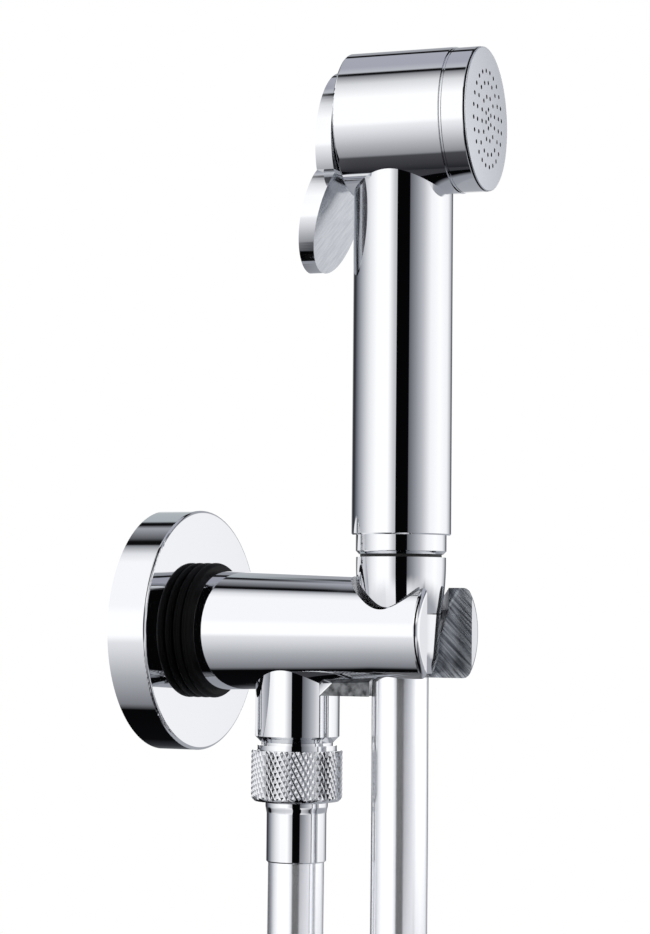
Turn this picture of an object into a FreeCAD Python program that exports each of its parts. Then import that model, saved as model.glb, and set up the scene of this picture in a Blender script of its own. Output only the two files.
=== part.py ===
"""Handheld bidet shower on a wall bracket with its hose, sizes in millimetres.

The wall is the plane Y = 0 and the arm stands out of it along -Y. Depths are distances from the wall,
so a depth of 39 lies at Y = -39. Z is up, and the origin is on the arm's axis at the wall.
The handset is modelled about its own upright axis, then turned and set into the holder.
"""

import FreeCAD, Part
import math
import os

from FreeCAD import Placement, Rotation, Vector

# Wall flange, a turned cover with a hollow back
FLANGE_RADIUS = 31.5
FLANGE_THICKNESS = 11.2
FLANGE_WALL = 3.4
FLANGE_FRONT_WALL = 3.0
FLANGE_EDGE_ROUND = 0.8
FLANGE_BACK = 0.3
WALL_SEAL_WIDTH = 1.6
WALL_SEAL_THICKNESS = 2.0

# Arm, cast with the outlet neck, the web and the holder
ARM_ROOT_RADIUS = 15.6
ARM_END_RADIUS = 13.95
ARM_LENGTH = 84.4
ARM_END_ROUND = 2.4
ARM_TAPER_START = 16.4
ARM_TAPER_END = 64.0
ARM_WALL_GAP = 1.0
ARM_BORE_RADIUS = 7.0
INLET_THREAD_RADIUS = 10.48
INLET_LENGTH = 12.0
INLET_BORE_RADIUS = 6.5
INLET_CHAMFER = 1.0
ARM_BORE_START = 7.0
ARM_BORE_END = 45.0
DRILL_OVERRUN = 1.0

# Black rubber ring with two lobes, between flange and arm
RING_RADIUS = 17.7
RING_LOBE_WIDTH = 2.4
RING_GROOVE_DEPTH = 1.0

# Outlet neck and the nipple screwed into it
NECK_DEPTH = 39.0
NECK_RADIUS = 10.95
NECK_BOTTOM = -28.6
NECK_CHAMFER = 1.6
NIPPLE_GROOVE_RADIUS = 9.3
NIPPLE_GROOVE_HEIGHT = 0.7
NIPPLE_LIP_RADIUS = 10.3
NIPPLE_LIP_HEIGHT = 1.1
NIPPLE_UPPER_RADIUS = 8.2
NIPPLE_UPPER_LENGTH = 9.4
NIPPLE_BORE_RADIUS = 5.0
NIPPLE_HEX_ACROSS = 12.0
NIPPLE_HEX_DEPTH = 5.0
OUTLET_THREAD_RADIUS = 10.4
OUTLET_THREAD_LENGTH = 7.4
OUTLET_THREAD_CHAMFER = 0.6
OUTLET_THREAD_RELIEF = 1.2
THREAD_RUNOUT = 0.5

# Knurled union nut, flat washer, hose insert and crimped ferrule
NUT_RADIUS = 11.8
NUT_HEIGHT = 13.1
NUT_TOP_CHAMFER = 0.3
NUT_BOTTOM_CHAMFER = 0.9
NUT_LIP_THICKNESS = 2.0
NUT_TOP_GAP = 0.2
WASHER_THICKNESS = 2.0
WASHER_RADIUS = 9.6
WASHER_HOLE_RADIUS = 5.0
INSERT_FLANGE_THICKNESS = 1.7
INSERT_NECK_RADIUS = 6.8
INSERT_TUBE_RADIUS = 4.4
INSERT_BORE_RADIUS = 3.4
INSERT_TUBE_LENGTH = 12.0
FERRULE_HEAD_RADIUS = 8.1
FERRULE_HEAD_LENGTH = 1.2
FERRULE_HEAD_TAPER = 1.8
FERRULE_RADIUS = 7.75
FERRULE_LENGTH = 15.5
FERRULE_GAP = 0.1
FERRULE_CHAMFER = 0.3
FERRULE_LIP = 1.0

# Hose
HOSE_DIAMETER = 14.5
HOSE_SLEEVE_GAP = 0.05
HOSE_CORNER_SHARE = 0.45

# Holder in the end of the arm
HOLDER_END_LENGTH = 16.4
NEAR_PRONG_LENGTH = 10.8
NEAR_PRONG_ROUND = 1.5
HOLDER_MOUTH_RADIUS = 12.7
HOLDER_MOUTH_HEIGHT = 5.8
HOSE_SLOT_WIDTH = 15.8
WEB_WIDTH = 12.0
WEB_BOTTOM = -16.3

# Two-part cone at the foot of the handset
SWIVEL_CONE_TOP = 4.65
SWIVEL_CONE_TOP_RADIUS = 10.4
SWIVEL_CONE_SHOULDER = -6.5
SWIVEL_CONE_SHOULDER_RADIUS = 9.65
SWIVEL_CONE_BOTTOM = -10.3
SWIVEL_CONE_BOTTOM_RADIUS = 8.42
SWIVEL_CONE_LIP = 2.5
SWIVEL_GAP = 0.25
CONE_NUT_TOP = 19.1
CONE_NUT_TOP_RADIUS = 11.5
CONE_NUT_MIDDLE_RADIUS = 11.3
CONE_NUT_LIP_THICKNESS = 1.7
SWIVEL_NECK_RADIUS = 6.0
SWIVEL_NECK_CLEARANCE = 0.08
SWIVEL_FLANGE_RADIUS = 9.1
SWIVEL_FLANGE_CLEARANCE = 0.4
SWIVEL_END_GAP = 0.1
HANDSET_THREAD_RADIUS = 10.4
THREAD_CLEARANCE = 0.05

# Plug in the foot of the handle
COLLAR_RADIUS = 11.6
COLLAR_TOP = 24.7
COLLAR_BOTTOM = 19.9
COLLAR_CHAMFER = 0.8
PLUG_LENGTH = 11.5
PLUG_BORE_RADIUS = 5.0
O_RING_SECTION = 1.6
O_RING_GROOVE_DEPTH = 1.3
O_RING_GROOVE_WIDTH = 1.8

# Handset casting, an upright handle with a round head across its top
HANDSET_TURN = 5.25
HANDLE_RADIUS = 12.75
HANDLE_PLUG_BORE = 10.0
HANDLE_BORE = 8.0
HANDLE_BORE_DROP = 26.6
PASSAGE_RADIUS = 4.0
PASSAGE_OFFSET = 3.6
PASSAGE_OVERLAP = 4.0
PASSAGE_TOP_DROP = 7.6
HANDLE_FOOT_CHAMFER = 0.35
HEAD_HEIGHT = 130.6
HEAD_RADIUS = 18.65
HEAD_REAR = -13.0
HEAD_SEAM = 15.03
HEAD_REAR_ROUND = 0.5
CHAMBER_RADIUS = 10.6
CHAMBER_REAR = -1.0
SPRAY_CHAMBER_RADIUS = 15.6
SPRAY_CHAMBER_REAR = 9.8

# Spray cap, plate, ring and the plastic flow disc
CAP_RADIUS = 18.4
CAP_FRONT = 21.45
CAP_LIP_WIDTH = 0.85
CAP_EDGE_CHAMFER = 0.1
CAP_SEAM_GAP = 0.25
CAP_SEAM_BEAD = 0.34
CAP_SEAM_DEPTH = 0.6
CAP_BEAD_SUNK = 0.05
CAP_SKIRT_RADIUS = 15.5
CAP_SKIRT_LENGTH = 3.4
CAP_BORE = 14.0
PLATE_RECESS_DEPTH = 1.65
PLATE_BRIM_RADIUS = 18.3
PLATE_BRIM_THICKNESS = 0.3
PLATE_BRIM_ROUND = 0.25
PLATE_DOME = 0.4
PLATE_DOME_SHARE = 0.75
PLATE_RING_WIDTH = 0.35
PLATE_RING_RADIUS = 18.1
PLATE_RING_THICKNESS = 0.5
SPRAY_HOLE_DIAMETER = 1.15
SPRAY_RING_RADII = (2.4, 5.6, 9.2, 12.2)
SPRAY_RING_COUNTS = (6, 12, 18, 24)
FLOW_DISC_THICKNESS = 1.6
FLOW_DISC_SUNK = 1.0
FLOW_DISC_CLEARANCE = 0.1
FLOW_RIM_WIDTH = 1.0
FLOW_CENTRE_RADIUS = 3.0
FLOW_HOLE_RADIUS = 1.6
FLOW_HOLE_COUNT = 8
FLOW_HOLE_CIRCLE = 9.0

# Shut-off valve in the head
POCKET_WIDTH = 10.4
POCKET_DROP = 15.9
POCKET_RISE = 4.6
POCKET_DEPTH = 6.0
BUSH_RADIUS = 5.0
BUSH_FLANGE_RADIUS = 4.9
BUSH_FLANGE_THICKNESS = 1.2
STEM_RADIUS = 2.0
STEM_CLEARANCE = 0.05
STEM_SEAL_DEPTH = 2.4
STEM_BUTTON_CHAMFER = 0.2
STEM_PILOT_LENGTH = 1.0
STEM_NECK_RADIUS = 1.3
STEM_BUTTON_RADIUS = 2.4
STEM_BUTTON_THICKNESS = 1.0
SEAT_BORE_RADIUS = 4.0
SEAT_THICKNESS = 2.4
VALVE_DISC_RADIUS = 5.6
VALVE_DISC_THICKNESS = 1.6
VALVE_PLATE_THICKNESS = 1.4
VALVE_PLATE_RADIUS = 5.0
SPRING_WIRE = 0.6
SPRING_RADIUS = 3.9
SPRING_TURNS = 3.5

# Lever, a round plate behind the head with a tilted round paddle below
LEVER_GAP = 0.15
LEVER_THICKNESS = 4.1
LEVER_REAR_LEAN = 3.0
LEVER_DISC_RADIUS = 18.65
LEVER_DISC_DROP = 4.7
LEVER_WAIST_RISE = 9.4
PADDLE_RADIUS = 14.8
PADDLE_DROP = 23.0
PADDLE_THICKNESS = 4.8
PADDLE_FRONT_TILT = 16.6
PADDLE_REAR_TILT = 12.2
PADDLE_BEND_RISE = 14.4
PADDLE_SHOULDER_RISE = 8.9
PADDLE_SHOULDER_TOP_RISE = 18.4
PIVOT_DROP = 13.4
PIVOT_OFFSET = 3.0
PIVOT_PIN_RADIUS = 1.25
PIVOT_CLEARANCE = 0.05
PIN_LENGTH = 16.2
PIN_HOLE_LENGTH = 16.4
LUG_WIDTH = 8.8
LUG_THICKNESS = 1.6
LUG_RISE = 3.4
LUG_EYE_RADIUS = 2.2
LUG_ROOT_DEPTH = 0.5
LUG_ROOT_HEIGHT = 3.5
FORK_GAP = 3.4
FORK_CLEARANCE = 0.6

# Clearances and derived places
HOLDER_DEPTH = ARM_LENGTH - HOLDER_END_LENGTH
HOSE_RADIUS = HOSE_DIAMETER / 2
SLEEVE_BORE = HOSE_RADIUS + HOSE_SLEEVE_GAP
FLANGE_BORE = ARM_ROOT_RADIUS + THREAD_CLEARANCE
RING_WIDTH = 2 * RING_LOBE_WIDTH
NIPPLE_LIP_TOP = NECK_BOTTOM - NIPPLE_GROOVE_HEIGHT
NIPPLE_LIP_BOTTOM = NIPPLE_LIP_TOP - NIPPLE_LIP_HEIGHT
NIPPLE_END = NIPPLE_LIP_BOTTOM - OUTLET_THREAD_LENGTH
NUT_TOP = NIPPLE_LIP_BOTTOM - NUT_TOP_GAP
NUT_BOTTOM = NUT_TOP - NUT_HEIGHT
INSERT_FLANGE_TOP = NIPPLE_END - WASHER_THICKNESS
INSERT_FLANGE_BOTTOM = INSERT_FLANGE_TOP - INSERT_FLANGE_THICKNESS
FERRULE_TOP = NUT_BOTTOM - FERRULE_GAP
FERRULE_BOTTOM = FERRULE_TOP - FERRULE_LENGTH
HOSE_START = FERRULE_TOP - FERRULE_LIP
CONE_NUT_BOTTOM = SWIVEL_CONE_TOP + SWIVEL_GAP
SWIVEL_FLANGE_BOTTOM = CONE_NUT_BOTTOM + CONE_NUT_LIP_THICKNESS + SWIVEL_END_GAP
SWIVEL_FLANGE_TOP = SWIVEL_FLANGE_BOTTOM + INSERT_FLANGE_THICKNESS
HANDSET_THREAD_BOTTOM = SWIVEL_FLANGE_TOP + WASHER_THICKNESS
CONE_CAVITY_RADIUS = SWIVEL_FLANGE_RADIUS + SWIVEL_FLANGE_CLEARANCE
HOSE_END = SWIVEL_CONE_TOP - SWIVEL_CONE_LIP
SEAT_REAR = SPRAY_CHAMBER_REAR - SEAT_THICKNESS
POCKET_FLOOR = HEAD_REAR + POCKET_DEPTH
HANDLE_BORE_TOP = HEAD_HEIGHT - HANDLE_BORE_DROP
PASSAGE_BOTTOM = HANDLE_BORE_TOP - PASSAGE_OVERLAP
PASSAGE_TOP = HEAD_HEIGHT - PASSAGE_TOP_DROP
POCKET_BOTTOM = HEAD_HEIGHT - POCKET_DROP
POCKET_TOP = HEAD_HEIGHT + POCKET_RISE
CAP_BEAD_REAR = HEAD_SEAM + CAP_SEAM_GAP
CAP_BEAD_FRONT = CAP_BEAD_REAR + CAP_SEAM_BEAD
CAP_REAR = CAP_BEAD_FRONT + CAP_SEAM_GAP
PLATE_RECESS_RADIUS = CAP_RADIUS - CAP_LIP_WIDTH
PLATE_RADIUS = PLATE_RECESS_RADIUS - PLATE_RING_WIDTH
PLATE_FLOOR = CAP_FRONT - PLATE_RECESS_DEPTH
FLOW_DISC_REAR = HEAD_SEAM - FLOW_DISC_SUNK
PLATE_BRIM_REAR = CAP_FRONT + PLATE_RING_THICKNESS
LEVER_DISC_HEIGHT = HEAD_HEIGHT - LEVER_DISC_DROP
PADDLE_HEIGHT = HEAD_HEIGHT - PADDLE_DROP
LEVER_WAIST = PADDLE_HEIGHT + LEVER_WAIST_RISE
PADDLE_BEND = PADDLE_HEIGHT + PADDLE_BEND_RISE
PADDLE_SHOULDER = PADDLE_HEIGHT + PADDLE_SHOULDER_RISE
PADDLE_SHOULDER_TOP = PADDLE_HEIGHT + PADDLE_SHOULDER_TOP_RISE
PIVOT_HEIGHT = HEAD_HEIGHT - PIVOT_DROP
LUG_TOP = HEAD_HEIGHT + LUG_RISE
LEVER_FRONT = HEAD_REAR - LEVER_GAP
LEVER_REAR = LEVER_FRONT - LEVER_THICKNESS
PIVOT_DEPTH = LEVER_FRONT + PIVOT_OFFSET

# The hose's way from the ferrule down, round the hanging loop and up into the cone, points chosen by hand
HOSE_ROUTE = [
    (0.0, -NECK_DEPTH, HOSE_START),
    (0.0, -NECK_DEPTH, -72.0),
    (-0.6, -NECK_DEPTH, -118.0),
    (-30.0, -41.0, -190.0),
    (-83.0, -44.0, -292.0),
    (-83.0, -47.0, -386.0),
    (-51.3, -50.0, -429.7),
    (0.0, -53.5, -446.4),
    (51.3, -57.0, -429.7),
    (83.0, -60.0, -386.0),
    (83.0, -63.0, -300.0),
    (26.0, -66.0, -217.0),
    (0.0, -HOLDER_DEPTH, -105.0),
    (0.3, -HOLDER_DEPTH, -48.0),
    (0.0, -HOLDER_DEPTH, -18.0),
    (0.0, -HOLDER_DEPTH, HOSE_END),
]


def wire_of(points):
    """Closed wire in the XZ plane from (radius, height) corners; a pair is an arc by way of the first."""
    edges = []
    last = Vector(points[0][0], 0, points[0][1])
    first = last
    for item in points[1:]:
        if isinstance(item[0], tuple):
            middle = Vector(item[0][0], 0, item[0][1])
            end = Vector(item[1][0], 0, item[1][1])
            edges.append(Part.Arc(last, middle, end).toShape())
        else:
            end = Vector(item[0], 0, item[1])
            edges.append(Part.LineSegment(last, end).toShape())
        last = end
    if last.distanceToPoint(first) > 1e-6:
        edges.append(Part.LineSegment(last, first).toShape())
    return Part.Wire(edges)


def turned(points):
    """Solid turned about the upright axis from a closed outline of (radius, height) corners."""
    return Part.Face(wire_of(points)).revolve(Vector(0, 0, 0), Vector(0, 0, 1), 360)


def rod(radius, low, high):
    """Upright cylinder between two heights."""
    return Part.makeCylinder(radius, high - low, Vector(0, 0, low))


def ring(outer, inner, low, high):
    """Upright tube between two heights."""
    return rod(outer, low, high).cut(rod(inner, low, high))


def block(x_low, x_high, y_low, y_high, z_low, z_high):
    """Box between two corners."""
    return Part.makeBox(x_high - x_low, y_high - y_low, z_high - z_low, Vector(x_low, y_low, z_low))


def outward(shape, height=0.0):
    """The shape with its heights laid out as depths from the wall, at a given height."""
    turn = Rotation(Vector(1, 0, 0), 90)
    return shape.transformed(Placement(Vector(0, 0, height), turn).toMatrix())


def at_depth(shape, depth):
    """The upright shape moved to a depth from the wall."""
    return shape.transformed(Placement(Vector(0, -depth, 0), Rotation()).toMatrix())


def across(radius, length):
    """Cylinder along the lever's pivot axis, centred on the head's middle plane."""
    start = Vector(-length / 2, -PIVOT_DEPTH, PIVOT_HEIGHT)
    return Part.makeCylinder(radius, length, start, Vector(1, 0, 0))


def in_holder(shape):
    """A handset piece turned as it hangs and moved to the holder's axis."""
    turn = Rotation(Vector(0, 0, 1), HANDSET_TURN)
    return shape.transformed(Placement(Vector(0, -HOLDER_DEPTH, 0), turn).toMatrix())


def o_ring_room(outer_radius, height):
    """Space that an O-ring of the standard section fills in its groove."""
    half = O_RING_GROOVE_WIDTH / 2
    return ring(outer_radius, outer_radius - O_RING_GROOVE_DEPTH, height - half, height + half)


def o_ring(outer_radius, height):
    """Rubber ring of the standard section, squeezed flat where it seals."""
    radius = outer_radius - O_RING_SECTION / 2
    torus = Part.makeTorus(radius, O_RING_SECTION / 2, Vector(0, 0, height))
    return torus.common(o_ring_room(outer_radius, height))


def o_ring_groove(outer_radius, height):
    """Groove that holds an O-ring."""
    half = O_RING_GROOVE_WIDTH / 2
    return ring(outer_radius + DRILL_OVERRUN, outer_radius - O_RING_GROOVE_DEPTH, height - half, height + half)


def wall_flange():
    """Cover disc with a hollow back, a groove for the wall seal and a bore for the arm."""
    back = FLANGE_BACK
    front = FLANGE_THICKNESS
    edge = FLANGE_EDGE_ROUND
    cavity = FLANGE_RADIUS - FLANGE_WALL
    bevel = edge * (1 - math.sqrt(0.5))
    outline = [
        (FLANGE_BORE, front - FLANGE_FRONT_WALL),
        (FLANGE_BORE, front),
        (FLANGE_RADIUS - edge, front),
        ((FLANGE_RADIUS - bevel, front - bevel), (FLANGE_RADIUS, front - edge)),
        (FLANGE_RADIUS, back),
        (cavity, back),
        (cavity, front - FLANGE_FRONT_WALL),
    ]
    groove_outer = FLANGE_RADIUS - (FLANGE_WALL - WALL_SEAL_WIDTH) / 2
    groove = ring(groove_outer, groove_outer - WALL_SEAL_WIDTH, back, WALL_SEAL_THICKNESS)
    return outward(turned(outline).cut(groove))


def wall_seal():
    """Rubber ring that stands slightly proud of the flange's back and meets the wall."""
    outer = FLANGE_RADIUS - (FLANGE_WALL - WALL_SEAL_WIDTH) / 2
    return outward(ring(outer, outer - WALL_SEAL_WIDTH, 0, WALL_SEAL_THICKNESS))


def collar_ring():
    """Two-lobed rubber ring that holds the flange against the wall."""
    start = FLANGE_THICKNESS
    lobe = RING_LOBE_WIDTH
    low = RING_RADIUS - RING_GROOVE_DEPTH
    outline = [
        (ARM_ROOT_RADIUS, start),
        (low, start),
        ((RING_RADIUS, start + lobe / 2), (low, start + lobe)),
        ((RING_RADIUS, start + 1.5 * lobe), (low, start + 2 * lobe)),
        (ARM_ROOT_RADIUS, start + 2 * lobe),
    ]
    return outward(turned(outline))


def bracket_body():
    """Casting of arm, inlet spigot, outlet neck, web and slotted holder with one prong shorter."""
    end_bevel = ARM_END_ROUND * (1 - math.sqrt(0.5))
    arm = outward(
        turned(
            [
                (0, -INLET_LENGTH),
                (INLET_THREAD_RADIUS - INLET_CHAMFER, -INLET_LENGTH),
                (INLET_THREAD_RADIUS, INLET_CHAMFER - INLET_LENGTH),
                (INLET_THREAD_RADIUS, ARM_WALL_GAP),
                (ARM_ROOT_RADIUS, ARM_WALL_GAP),
                (ARM_ROOT_RADIUS, ARM_TAPER_START),
                (ARM_END_RADIUS, ARM_TAPER_END),
                (ARM_END_RADIUS, ARM_LENGTH - ARM_END_ROUND),
                (
                    (ARM_END_RADIUS - end_bevel, ARM_LENGTH - end_bevel),
                    (ARM_END_RADIUS - ARM_END_ROUND, ARM_LENGTH),
                ),
                (0, ARM_LENGTH),
            ]
        )
    )
    neck = at_depth(
        turned(
            [
                (0, 0),
                (NECK_RADIUS, 0),
                (NECK_RADIUS, NECK_BOTTOM + NECK_CHAMFER),
                (NECK_RADIUS - NECK_CHAMFER, NECK_BOTTOM),
                (0, NECK_BOTTOM),
            ]
        ),
        NECK_DEPTH,
    )
    web = block(-WEB_WIDTH / 2, WEB_WIDTH / 2, -HOLDER_DEPTH, -NECK_DEPTH, WEB_BOTTOM, 0)
    body = arm.fuse([neck, web])
    above = ARM_ROOT_RADIUS + DRILL_OVERRUN
    below = WEB_BOTTOM - DRILL_OVERRUN
    seat = at_depth(
        turned(
            [
                (0, above),
                (HOLDER_MOUTH_RADIUS, above),
                (HOLDER_MOUTH_RADIUS, HOLDER_MOUTH_HEIGHT),
                (SWIVEL_CONE_SHOULDER_RADIUS, SWIVEL_CONE_SHOULDER),
                (SWIVEL_CONE_BOTTOM_RADIUS, SWIVEL_CONE_BOTTOM),
                (SWIVEL_CONE_BOTTOM_RADIUS, below),
                (0, below),
            ]
        ),
        HOLDER_DEPTH,
    )
    half_slot = HOSE_SLOT_WIDTH / 2
    slot = block(-half_slot, half_slot, -ARM_LENGTH - DRILL_OVERRUN, -HOLDER_DEPTH, below, above)
    near_end = HOLDER_DEPTH + NEAR_PRONG_LENGTH
    near_round = NEAR_PRONG_ROUND
    near_bevel = near_round * (1 - math.sqrt(0.5))
    beyond = outward(
        turned(
            [
                (0, near_end),
                (ARM_END_RADIUS - near_round, near_end),
                ((ARM_END_RADIUS - near_bevel, near_end - near_bevel), (ARM_END_RADIUS, near_end - near_round)),
                (above, near_end - near_round),
                (above, ARM_LENGTH + DRILL_OVERRUN),
                (0, ARM_LENGTH + DRILL_OVERRUN),
            ]
        )
    )
    near_side = block(-2 * above, 0, -2 * ARM_LENGTH, -HOLDER_DEPTH, -2 * above, 2 * above)
    short_prong = beyond.common(near_side)
    inlet = outward(rod(INLET_BORE_RADIUS, -INLET_LENGTH - DRILL_OVERRUN, NECK_DEPTH))
    arm_bore = outward(rod(ARM_BORE_RADIUS, ARM_BORE_START, ARM_BORE_END))
    neck_low = NECK_BOTTOM - DRILL_OVERRUN
    neck_bore = at_depth(rod(NIPPLE_BORE_RADIUS, neck_low, 0), NECK_DEPTH)
    thread_top = NECK_BOTTOM + NIPPLE_UPPER_LENGTH + THREAD_RUNOUT
    neck_thread = at_depth(rod(NIPPLE_UPPER_RADIUS, neck_low, thread_top), NECK_DEPTH)
    return body.cut([seat, slot, short_prong, inlet, arm_bore, neck_bore, neck_thread])


def outlet_nipple():
    """Threaded nipple between neck and union nut, with a hexagon socket in its lower end."""
    low = NIPPLE_END
    relief = NIPPLE_LIP_BOTTOM - OUTLET_THREAD_RELIEF
    outline = [
        (NIPPLE_BORE_RADIUS, low),
        (OUTLET_THREAD_RADIUS - OUTLET_THREAD_CHAMFER, low),
        (OUTLET_THREAD_RADIUS, low + OUTLET_THREAD_CHAMFER),
        (OUTLET_THREAD_RADIUS, relief),
        (NIPPLE_LIP_RADIUS, relief),
        (NIPPLE_LIP_RADIUS, NIPPLE_LIP_TOP),
        (NIPPLE_GROOVE_RADIUS, NIPPLE_LIP_TOP),
        (NIPPLE_GROOVE_RADIUS, NECK_BOTTOM),
        (NIPPLE_UPPER_RADIUS, NECK_BOTTOM),
        (NIPPLE_UPPER_RADIUS, NECK_BOTTOM + NIPPLE_UPPER_LENGTH),
        (NIPPLE_BORE_RADIUS, NECK_BOTTOM + NIPPLE_UPPER_LENGTH),
    ]
    corner = NIPPLE_HEX_ACROSS / math.sqrt(3)
    corners = [
        Vector(corner * math.cos(math.radians(60 * k)), corner * math.sin(math.radians(60 * k)), low)
        for k in range(7)
    ]
    socket = Part.Face(Part.makePolygon(corners)).extrude(Vector(0, 0, NIPPLE_HEX_DEPTH))
    return at_depth(turned(outline).cut(socket), NECK_DEPTH)


def union_nut():
    """Nut with a plain body, a bore for the thread and a lip that draws the hose insert up."""
    outline = [
        (OUTLET_THREAD_RADIUS + THREAD_CLEARANCE, NUT_TOP),
        (NUT_RADIUS - NUT_TOP_CHAMFER, NUT_TOP),
        (NUT_RADIUS, NUT_TOP - NUT_TOP_CHAMFER),
        (NUT_RADIUS, NUT_BOTTOM + NUT_BOTTOM_CHAMFER),
        (NUT_RADIUS - NUT_BOTTOM_CHAMFER, NUT_BOTTOM),
        (INSERT_NECK_RADIUS + THREAD_CLEARANCE, NUT_BOTTOM),
        (INSERT_NECK_RADIUS + THREAD_CLEARANCE, INSERT_FLANGE_BOTTOM),
        (OUTLET_THREAD_RADIUS + THREAD_CLEARANCE, INSERT_FLANGE_BOTTOM),
    ]
    return at_depth(turned(outline), NECK_DEPTH)


def outlet_washer():
    """Flat rubber washer between nipple and hose insert."""
    return at_depth(ring(WASHER_RADIUS, WASHER_HOLE_RADIUS, INSERT_FLANGE_TOP, NIPPLE_END), NECK_DEPTH)


def outlet_hose_insert():
    """Flanged tail pushed into the hose's upper end."""
    outline = [
        (INSERT_BORE_RADIUS, INSERT_FLANGE_TOP),
        (WASHER_RADIUS, INSERT_FLANGE_TOP),
        (WASHER_RADIUS, INSERT_FLANGE_BOTTOM),
        (INSERT_NECK_RADIUS, INSERT_FLANGE_BOTTOM),
        (INSERT_NECK_RADIUS, FERRULE_TOP),
        (INSERT_TUBE_RADIUS, FERRULE_TOP),
        (INSERT_TUBE_RADIUS, HOSE_START - INSERT_TUBE_LENGTH),
        (INSERT_BORE_RADIUS, HOSE_START - INSERT_TUBE_LENGTH),
    ]
    return at_depth(turned(outline), NECK_DEPTH)


def outlet_ferrule():
    """Sleeve crimped round the hose's end, wider at its uncrimped head, closed there round the insert."""
    head_low = FERRULE_TOP - FERRULE_HEAD_LENGTH
    outline = [
        (INSERT_TUBE_RADIUS + THREAD_CLEARANCE, FERRULE_TOP),
        (FERRULE_HEAD_RADIUS - FERRULE_CHAMFER, FERRULE_TOP),
        (FERRULE_HEAD_RADIUS, FERRULE_TOP - FERRULE_CHAMFER),
        (FERRULE_HEAD_RADIUS, head_low),
        (FERRULE_RADIUS, head_low - FERRULE_HEAD_TAPER),
        (FERRULE_RADIUS, FERRULE_BOTTOM + FERRULE_CHAMFER),
        (FERRULE_RADIUS - FERRULE_CHAMFER, FERRULE_BOTTOM),
        (SLEEVE_BORE, FERRULE_BOTTOM),
        (SLEEVE_BORE, HOSE_START),
        (INSERT_TUBE_RADIUS + THREAD_CLEARANCE, HOSE_START),
    ]
    return at_depth(turned(outline), NECK_DEPTH)


def hose():
    """Hose as a plain round tube along its route, and the radii of its bends."""
    route = [Vector(*point) for point in HOSE_ROUTE]
    edges = []
    radii = []
    start = route[0]
    for before, corner, after in zip(route, route[1:], route[2:]):
        back = (before - corner).normalize()
        ahead = (after - corner).normalize()
        half_turn = (math.pi - back.getAngle(ahead)) / 2
        shorter = min(before.distanceToPoint(corner), after.distanceToPoint(corner))
        reach = HOSE_CORNER_SHARE * shorter
        radius = reach / math.tan(half_turn)
        enter = corner + back * reach
        leave = corner + ahead * reach
        inwards = (back + ahead).normalize()
        sagitta = radius / math.cos(half_turn) - radius
        edges.append(Part.LineSegment(start, enter).toShape())
        edges.append(Part.Arc(enter, corner + inwards * sagitta, leave).toShape())
        radii.append(radius)
        start = leave
    edges.append(Part.LineSegment(start, route[-1]).toShape())
    path = Part.Wire(edges)
    first = Part.Circle(route[0], route[1] - route[0], HOSE_RADIUS)
    tube = path.makePipeShell([Part.Wire([first.toShape()])], True, True)
    print("hose length", round(path.Length, 1), "bend radii", [round(r) for r in radii])
    print("hose volume share", round(tube.Volume / (math.pi * HOSE_RADIUS**2 * path.Length), 5))
    return tube


def swivel_cone():
    """Lower half of the cone, crimped on the hose's end, which stays still while the handset turns."""
    outline = [
        (SWIVEL_NECK_RADIUS + THREAD_CLEARANCE, SWIVEL_CONE_TOP),
        (SWIVEL_CONE_TOP_RADIUS, SWIVEL_CONE_TOP),
        (SWIVEL_CONE_SHOULDER_RADIUS, SWIVEL_CONE_SHOULDER),
        (SWIVEL_CONE_BOTTOM_RADIUS, SWIVEL_CONE_BOTTOM),
        (SLEEVE_BORE, SWIVEL_CONE_BOTTOM),
        (SLEEVE_BORE, HOSE_END),
        (SWIVEL_NECK_RADIUS + THREAD_CLEARANCE, HOSE_END),
    ]
    return at_depth(turned(outline), HOLDER_DEPTH)


def swivel_insert():
    """Flanged tail of the hose's lower end, on which the cone nut turns."""
    tube_end = HOSE_END - INSERT_TUBE_LENGTH
    outline = [
        (INSERT_BORE_RADIUS, SWIVEL_FLANGE_TOP),
        (SWIVEL_FLANGE_RADIUS, SWIVEL_FLANGE_TOP),
        (SWIVEL_FLANGE_RADIUS, SWIVEL_FLANGE_BOTTOM),
        (SWIVEL_NECK_RADIUS, SWIVEL_FLANGE_BOTTOM),
        (SWIVEL_NECK_RADIUS, HOSE_END),
        (INSERT_TUBE_RADIUS, HOSE_END),
        (INSERT_TUBE_RADIUS, tube_end),
        (INSERT_BORE_RADIUS, tube_end),
    ]
    return at_depth(turned(outline), HOLDER_DEPTH)


def cone_nut():
    """Upper half of the cone, screwed on the handset's foot and turning on the swivel insert."""
    lip_top = CONE_NUT_BOTTOM + CONE_NUT_LIP_THICKNESS
    bore = HANDSET_THREAD_RADIUS + THREAD_CLEARANCE
    middle = (CONE_NUT_MIDDLE_RADIUS, (CONE_NUT_TOP + CONE_NUT_BOTTOM) / 2)
    outline = [
        (SWIVEL_NECK_RADIUS + SWIVEL_NECK_CLEARANCE, CONE_NUT_BOTTOM),
        (SWIVEL_CONE_TOP_RADIUS, CONE_NUT_BOTTOM),
        (middle, (CONE_NUT_TOP_RADIUS, CONE_NUT_TOP)),
        (bore, CONE_NUT_TOP),
        (bore, HANDSET_THREAD_BOTTOM),
        (CONE_CAVITY_RADIUS, HANDSET_THREAD_BOTTOM),
        (CONE_CAVITY_RADIUS, lip_top),
        (SWIVEL_NECK_RADIUS + SWIVEL_NECK_CLEARANCE, lip_top),
    ]
    return turned(outline)


def swivel_washer():
    """Flat rubber washer between the handset's foot and the swivel insert."""
    return ring(SWIVEL_FLANGE_RADIUS, WASHER_HOLE_RADIUS, SWIVEL_FLANGE_TOP, HANDSET_THREAD_BOTTOM)


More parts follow.
